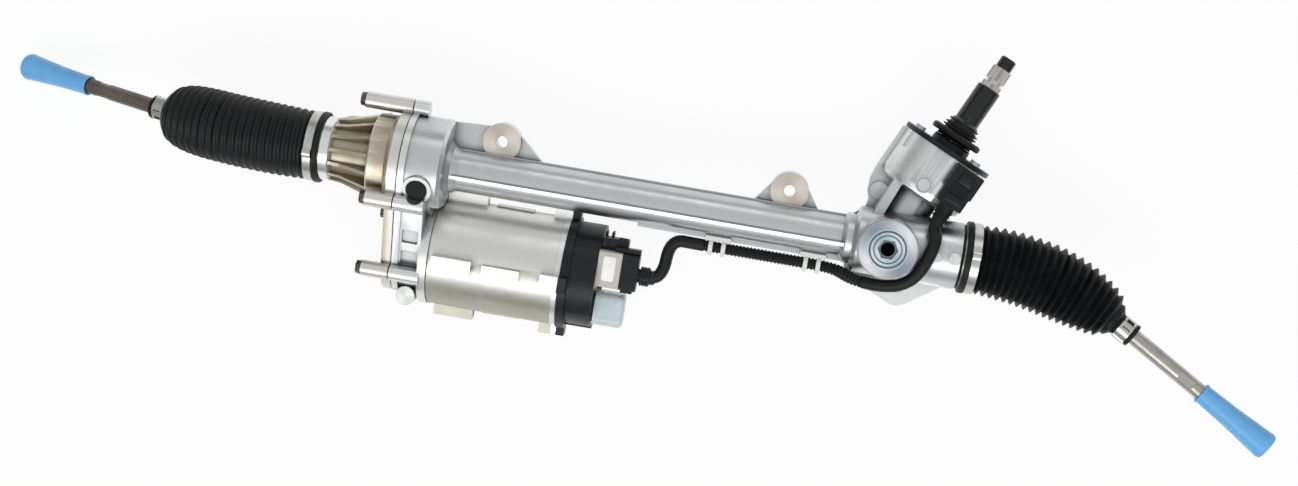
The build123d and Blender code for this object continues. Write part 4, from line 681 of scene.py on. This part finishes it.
conduit_tree, given = shape_tree("conduit", (
    ("Geometry", "Geometry"), ("Radius", "Float"), ("Groove", "Float"), ("Pitch", "Float"),
    ("Corrugated From", "Float"), ("Corrugated To", "Float"), ("Finish", "Material")))
followed = add(conduit_tree, "GeometryNodeMeshToCurve", {0: given["Geometry"]})
followed = add(conduit_tree, "GeometryNodeResampleCurve", {"Curve": followed.outputs[0],
                                                           "Length": conduit_step}, mode="LENGTH")
run = add(conduit_tree, "GeometryNodeSplineParameter").outputs["Length"]
half = add(conduit_tree, "ShaderNodeMath", {0: given["Pitch"], 1: 0.5}, operation="MULTIPLY")
wave = add(conduit_tree, "ShaderNodeMath", {0: run, 1: half.outputs[0]}, operation="PINGPONG")
wave = add(conduit_tree, "ShaderNodeMapRange", {"Value": wave.outputs[0], "From Max": half.outputs[0]},
           interpolation_type="SMOOTHSTEP")
spot = add(conduit_tree, "GeometryNodeInputPosition")
along_rack = add(conduit_tree, "ShaderNodeSeparateXYZ", {0: spot.outputs[0]}).outputs["X"]
after = add(conduit_tree, "ShaderNodeMath", {0: along_rack, 1: given["Corrugated From"]},
            operation="GREATER_THAN")
before = add(conduit_tree, "ShaderNodeMath", {0: along_rack, 1: given["Corrugated To"]},
             operation="LESS_THAN")
bare = add(conduit_tree, "ShaderNodeMath", {0: after.outputs[0], 1: before.outputs[0]},
           operation="MULTIPLY")
cut = add(conduit_tree, "ShaderNodeMath", {0: wave.outputs["Result"], 1: bare.outputs[0]},
          operation="MULTIPLY")
cut = add(conduit_tree, "ShaderNodeMath", {0: cut.outputs[0], 1: given["Groove"]}, operation="MULTIPLY")
swept = add(conduit_tree, "ShaderNodeMath", {0: given["Radius"], 1: cut.outputs[0]}, operation="SUBTRACT")
section = add(conduit_tree, "GeometryNodeCurvePrimitiveCircle", {"Resolution": 24, "Radius": 1.0})
hose = add(conduit_tree, "GeometryNodeCurveToMesh", {"Curve": followed.outputs[0],
                                                     "Profile Curve": section.outputs[0],
                                                     "Scale": swept.outputs[0], "Fill Caps": True})
end_tree(conduit_tree, hose.outputs[0], given["Finish"])
# conduit nylon: dull black, slightly grey in patches
conduit_nylon = moulded("nylon conduit, blow-moulded", "#0D0E0F", 0.46, bloom="#161718", shine=0.28)
conduit = grown("sensor_conduit", conduit_tree, "housing", seed=path, smooth_angle=60, Radius=cable_r,
                Groove=cable_groove, Pitch=conduit_pitch, Finish=conduit_nylon,
                **{"Corrugated From": corrugated_from, "Corrugated To": corrugated_to})
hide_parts("sensor_cable")
finish_cad(conduit_nylon, "sensor_cable")
# edge clips: white nylon, pressed onto the tube's rib
finish_cad(white_nylon, "cable_clips")

# ---- rack bar, inner joints and tie rods --------------------------------------------------------
# Ground and hardened rack bar. On each end a steel ball socket is screwed, and from its ball the
# tie rod runs out: the left one is phosphated, the right one drawn bright.

# drawn bar: light grey with faint darker patches
drawn_steel = moulded("steel bar, drawn", "#BFBBB4", 0.34, metal=1.0, bloom="#A8A39B")
# phosphated rod: grey-brown, dry
brown_steel = moulded("steel bar, zinc-phosphated", "#857C72", 0.44, metal=1.0, bloom="#6D645B")
finish_cad(ground_steel, "rack_bar")
finish_cad(drawn_steel, "left_joint_socket", "right_joint_socket", "right_tie_rod")
finish_cad(brown_steel, "left_tie_rod")

# ---- boots --------------------------------------------------------------------------------------
# Bellows boots of moulded rubber keep dirt off the inner ball joints. Each is drawn over the end of
# the housing and over the tie rod. The left one has shallow round folds and a domed end, the right
# one deep sharp folds that fan out round its bend.
ball_reach = 0.391
boot_cuff_start, boot_wall, rod_shank_r = 0.071, 0.0018, 0.00735
left_mouth, right_mouth = 0.314, 0.317  # where each boot starts on the housing, from the middle
fold_steps, round_steps = 8, 72         # rings to a fold, points to a ring
curve_full = 0.04                       # radius at the top of the crest curve


def rod_heading(side, steer, bump):
    """Direction of a tie rod from its ball joint."""
    level = math.cos(math.radians(bump))
    return Vector((side * math.cos(math.radians(steer)) * level, math.sin(math.radians(steer)) * level,
                   math.sin(math.radians(bump))))


def bellows_tree(name, outline):
    """Folded tube along a bent line. The outline gives crest radius (m) at shares of its length."""
    tree, given = shape_tree(name, (
        ("Mouth", "Vector"), ("Ball", "Vector"), ("Cuff", "Vector"), ("Folds", "Int"),
        ("Fold Depth", "Float"), ("Roundness", "Float"), ("Rubber", "Material")))
    line = add(tree, "GeometryNodeCurveQuadraticBezier", {"Resolution": 200, "Start": given["Mouth"],
                                                          "Middle": given["Ball"], "End": given["Cuff"]})
    rings = add(tree, "ShaderNodeMath", {0: given["Folds"], 1: fold_steps, 2: 1.0},
                operation="MULTIPLY_ADD")
    line = add(tree, "GeometryNodeResampleCurve", {"Curve": line.outputs[0], "Count": rings.outputs[0]})
    share = add(tree, "GeometryNodeSplineParameter").outputs["Factor"]
    crest = add(tree, "ShaderNodeFloatCurve", {"Value": share})
    knots = crest.mapping.curves[0].points
    while len(knots) < len(outline):
        knots.new(0.5, 0.5)
    for knot, (at, radius) in zip(knots, outline):
        knot.location = (at, radius / curve_full)
    crest.mapping.update()
    crest = add(tree, "ShaderNodeMath", {0: crest.outputs[0], 1: curve_full}, operation="MULTIPLY")
    turn = add(tree, "ShaderNodeMath", {0: share, 1: given["Folds"]}, operation="MULTIPLY")
    sharp = add(tree, "ShaderNodeMath", {0: turn.outputs[0], 1: 0.5}, operation="PINGPONG")
    sharp = add(tree, "ShaderNodeMath", {0: sharp.outputs[0], 1: 2.0}, operation="MULTIPLY")
    soft = add(tree, "ShaderNodeMapRange", {"Value": sharp.outputs[0]}, interpolation_type="SMOOTHERSTEP")
    blunt = add(tree, "ShaderNodeMix", {"Factor": given["Roundness"], "A": sharp.outputs[0],
                                        "B": soft.outputs["Result"]}, data_type="FLOAT")
    valley = add(tree, "ShaderNodeMath", {0: 1.0, 1: blunt.outputs[0]}, operation="SUBTRACT")
    # no folds at the cuff
    fade = add(tree, "ShaderNodeMapRange", {"Value": share, "From Min": 0.93, "From Max": 0.99,
                                            "To Min": 1.0, "To Max": 0.0})
    depth = add(tree, "ShaderNodeMath", {0: valley.outputs[0], 1: fade.outputs["Result"]},
                operation="MULTIPLY")
    depth = add(tree, "ShaderNodeMath", {0: depth.outputs[0], 1: given["Fold Depth"]},
                operation="MULTIPLY")
    radius = add(tree, "ShaderNodeMath", {0: crest.outputs[0], 1: depth.outputs[0]}, operation="SUBTRACT")
    section = add(tree, "GeometryNodeCurvePrimitiveCircle", {"Resolution": round_steps, "Radius": 1.0})
    tube = add(tree, "GeometryNodeCurveToMesh", {"Curve": line.outputs[0],
                                                 "Profile Curve": section.outputs[0],
                                                 "Scale": radius.outputs[0]})
    end_tree(tree, tube.outputs[0], given["Rubber"])
    return tree


def point_away(piece, centre):
    """Turn an open sheet's faces away from a point on its axis."""
    face = piece.data.polygons[0]
    if face.normal.dot(face.center - centre) < 0:
        piece.data.flip_normals()


def walled(piece, thickness, side):
    """Give an open sheet its wall, inwards (-1) or outwards (1), as a closed mesh."""
    wall = piece.modifiers.new("wall", "SOLIDIFY")
    wall.thickness, wall.offset = thickness, side
    mesh = evaluated_mesh(piece)
    piece.modifiers.remove(wall)
    piece.data = mesh


def split_bellows(name, whole, zones, folds):
    """Cut a bellows into closed pieces at valleys between its folds. The two bodies given with each zone are
    not used.
    """
    rings = folds * fold_steps + 1
    points = [v.co.copy() for v in whole.data.vertices]
    rubber = whole.data.materials[0]
    quarters = range(0, round_steps, round_steps // 4)
    centres = [sum((points[r * round_steps + i] for i in quarters), Vector()) / 4 for r in range(rings)]
    made = []
    for label, first, last, body_a, body_b in zones:
        first, last = first * fold_steps, last * fold_steps
        verts = points[first * round_steps:(last + 1) * round_steps]
        faces = [(r * round_steps + i, r * round_steps + (i + 1) % round_steps,
                  (r + 1) * round_steps + (i + 1) % round_steps, (r + 1) * round_steps + i)
                 for r in range(last - first) for i in range(round_steps)]
        piece = show(f"{name}_{label}", verts, faces)
        tidy(piece, 50)
        point_away(piece, centres[first])
        walled(piece, boot_wall, -1.0)
        piece.data.materials.clear()
        piece.data.materials.append(rubber)
        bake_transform(piece)
        made.append(piece)
    bpy.data.objects.remove(whole)
    return made


# boot rubber: matt black with a grey wax bloom that lies on the folds
boot_rubber = moulded("EPDM rubber, blow-moulded", "#0C0D0E", 0.46, grain_mm=0.9, bloom="#18191B",
                      shine=0.25)
finish_cad(boot_rubber, "left_boot", "right_boot")
# radius of the folds' crests at shares of each boot's length
left_outline = ((0, 0.0325), (0.1, 0.0332), (0.3, 0.0338), (0.55, 0.0338), (0.75, 0.0332), (0.86, 0.0312),
                (0.93, 0.0275), (0.975, 0.0205), (1, 0.0112))
right_outline = ((0, 0.0318), (0.1, 0.0332), (0.3, 0.0338), (0.5, 0.0338), (0.66, 0.0322), (0.8, 0.0286),
                 (0.9, 0.0246), (0.95, 0.0192), (1, 0.0110))
rods = (("left", -1, rod_heading(-1, 5.3, -17.3)), ("right", 1, rod_heading(1, -29.9, 9.0)))
# for each boot: its folds, how deep and round they are, and the valleys where it is cut
boots = ((left_mouth, left_outline, 21, 0.0024, 0.9, 12, 14),
         (right_mouth, right_outline, 19, 0.0047, 0.25, 10, 13))
for (name, side, heading), (mouth, outline, folds, depth, roundness, near, far) in zip(rods, boots):
    ball = Vector((side * ball_reach, rack_y, rack_z))
    cuff = ball + heading * boot_cuff_start
    tree = bellows_tree(name + "_bellows", outline)
    whole = grown(name + "_bellows", tree, None, Mouth=(side * mouth, rack_y, rack_z), Ball=ball,
                  Cuff=cuff, Folds=folds, Roundness=roundness, Rubber=boot_rubber,
                  **{"Fold Depth": depth})
    pieces = split_bellows(name + "_bellows", whole, (
        ("near_housing", 0, near, "housing", "rack"),
        ("over_joint", near, far, "rack", name + "_ball_seat"),
        ("near_rod", far, folds, name + "_ball_seat", name + "_tie_rod")), folds)
    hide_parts(name + "_boot")
    # collar under the band clamp, with its lip on the housing
    turned(name + "_boot_collar", ((-0.0002, 0.0290), (-0.0002, 0.0316), (0.0005, 0.0322),
                                   (0.0008, 0.0313), (0.0080, 0.0313), (0.0086, 0.0331), (0.0093, 0.0336),
                                   (0.0134, 0.0334), (0.0140, 0.0327), (0.0140, 0.0288)),
           (side * mouth, rack_y, rack_z), (-side, 0, 0), boot_rubber, "housing")
    # cuff on the tie rod, with a thin lip past its clamp
    cuff_bore = rod_shank_r + 0.0003
    turned(name + "_boot_cuff", ((0, cuff_bore), (0, 0.0112), (0.0015, 0.0104), (0.0150, 0.0104),
                                 (0.0155, 0.0113), (0.0178, 0.0113), (0.0183, 0.0106), (0.0183, cuff_bore)),
           cuff, heading, boot_rubber, name + "_tie_rod", steps=64)

# ---- boot clamps --------------------------------------------------------------------------------
# Band clamps of thin zinc-plated strip hold the boots. Each is closed by a pinched ear, its tail
# lies over the band beside the ear, and slots are punched in the band.
ear_shape = ((-4.6, 0.0), (-3.0, 0.25), (-2.4, 1.3), (-2.9, 2.4), (-1.6, 3.0), (1.6, 3.0), (2.9, 2.4),
             (2.4, 1.3), (3.0, 0.25), (4.6, 0.0))   # across the ear and outwards, mm
band_steps, band_rows, wide_band = 84, 5, 0.009     # a wide band has wide slots
tail_steps, tail_step_turn, tail_gap, tail_width = 16, 3.0, 0.00015, 0.8
tail_tip, tail_growth = 0.45, 0.2                   # share of its width at the tail's tip, and per step


def band_clamp(name, origin, along, zero, radius, width, wall, ear_turn, ear_scale, slots, body):
    """Closed strip with its ear, slots and overlapping tail, given its thickness at the end."""
    along, zero = Vector(along).normalized(), Vector(zero).normalized()
    other = along.cross(zero)
    scale = ear_scale / 1000
    ear_half = math.degrees(ear_shape[-1][0] * scale / radius)
    loop = [(ear_turn + ear_half + (360 - 2 * ear_half) * i / band_steps, radius)
            for i in range(band_steps + 1)]
    loop += [(ear_turn + 360 + math.degrees(u * scale / radius), radius + v * scale)
             for u, v in ear_shape[1:-1]]
    tail = [(ear_turn - ear_half - 2 - tail_step_turn * i, radius + wall + tail_gap)
            for i in range(tail_steps + 1)]
    verts, faces = [], []
    for strip, closed in ((loop, True), (tail, False)):
        first = len(verts)
        for i, (turn, reach) in enumerate(strip):
            # the tail narrows to a rounded end
            narrow = 1.0 if closed else tail_width * min(1.0, tail_tip + tail_growth * (tail_steps - i))
            spoke = zero * math.cos(math.radians(turn)) + other * math.sin(math.radians(turn))
            for row in range(band_rows + 1):
                share = (row / band_rows - 0.5) * narrow
                verts.append(Vector(origin) + spoke * reach + along * width * (0.5 + share))
        count = len(strip)
        for i in range(count if closed else count - 1):
            for row in range(band_rows):
                middle = row == 2 or (width > wide_band and row in (1, 3))
                turn = (strip[i][0] + strip[i + 1][0]) / 2 if i + 1 < count else None
                slot = closed and middle and turn is not None and any(
                    abs((turn - ear_turn - at + 180) % 360 - 180) < half for at, half in slots)
                if not slot:
                    a = first + i * (band_rows + 1) + row
                    b = first + (i + 1) % count * (band_rows + 1) + row
                    faces.append((a, b, b + 1, a + 1))
    piece = show(name, verts, faces)
    point_away(piece, Vector(origin) + along * width / 2)
    walled(piece, wall, 1.0)
    piece.data.shade_smooth()
    piece.data.set_sharp_from_angle(angle=math.radians(35))
    piece.data.materials.append(band_steel)
    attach(piece, body)
    return piece


# clamp strip: rolled steel, bright zinc with a cool tint
band_steel = moulded("steel strip, zinc-plated", "#D2D3CF", 0.27, metal=1.0, bloom="#B7B7B0")
finish_cad(band_steel, "boot_clamps", "left_rod_clamp", "right_rod_clamp")
band_overhang, rod_band_start = 0.0008, 0.0732
boot_bands = [
    band_clamp(name + "_boot_band", (side * (mouth - band_overhang), rack_y, rack_z), (-side, 0, 0),
               (0, 0, 1), 0.0321, 0.0076, 0.0008, ear_turn, 1.0, ((-16, 3), (slot_turn, 3)), "housing")
    for name, side, mouth, ear_turn, slot_turn in (
        ("left", -1, left_mouth, 7, -30), ("right", 1, right_mouth, 12, -50))]
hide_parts("boot_clamps")
for name, side, heading in rods:
    start = Vector((side * ball_reach, rack_y, rack_z)) + heading * rod_band_start
    band = band_clamp(name + "_rod_band", start, heading, Vector((0, 0, 1)) - heading * heading.z,
                      0.0106, 0.0118, 0.0006, 60, 0.62, ((-60, 12), (-110, 12), (130, 12)),
                      name + "_tie_rod")
    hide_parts(name + "_rod_clamp")

# ---- transport caps -----------------------------------------------------------------------------
# Soft vinyl caps slipped over the rods' threads for transport, dip-moulded, so their mouths have a
# thin rolled edge. Blue, faintly translucent, with a waxy shine.
blue_vinyl = moulded("PVC, dip-moulded", "#5FA9DF", 0.34, soft=0.25, bloom="#6FB6E8")
finish_cad(blue_vinyl, "left_rod_cap", "right_rod_cap")
cap_mouth = 0.1680                      # from the ball
for name, side, heading in rods:
    mouth = Vector((side * ball_reach, rack_y, rack_z)) + heading * cap_mouth
    turned(name + "_cap_lip", ((0, 0.0078), (-0.0006, 0.0084), (-0.0006, 0.0093), (0, 0.0098),
                               (0.0012, 0.0099), (0.0022, 0.0094), (0.0022, 0.0078)),
           mouth, heading, blue_vinyl, name + "_rod_cap", steps=48)
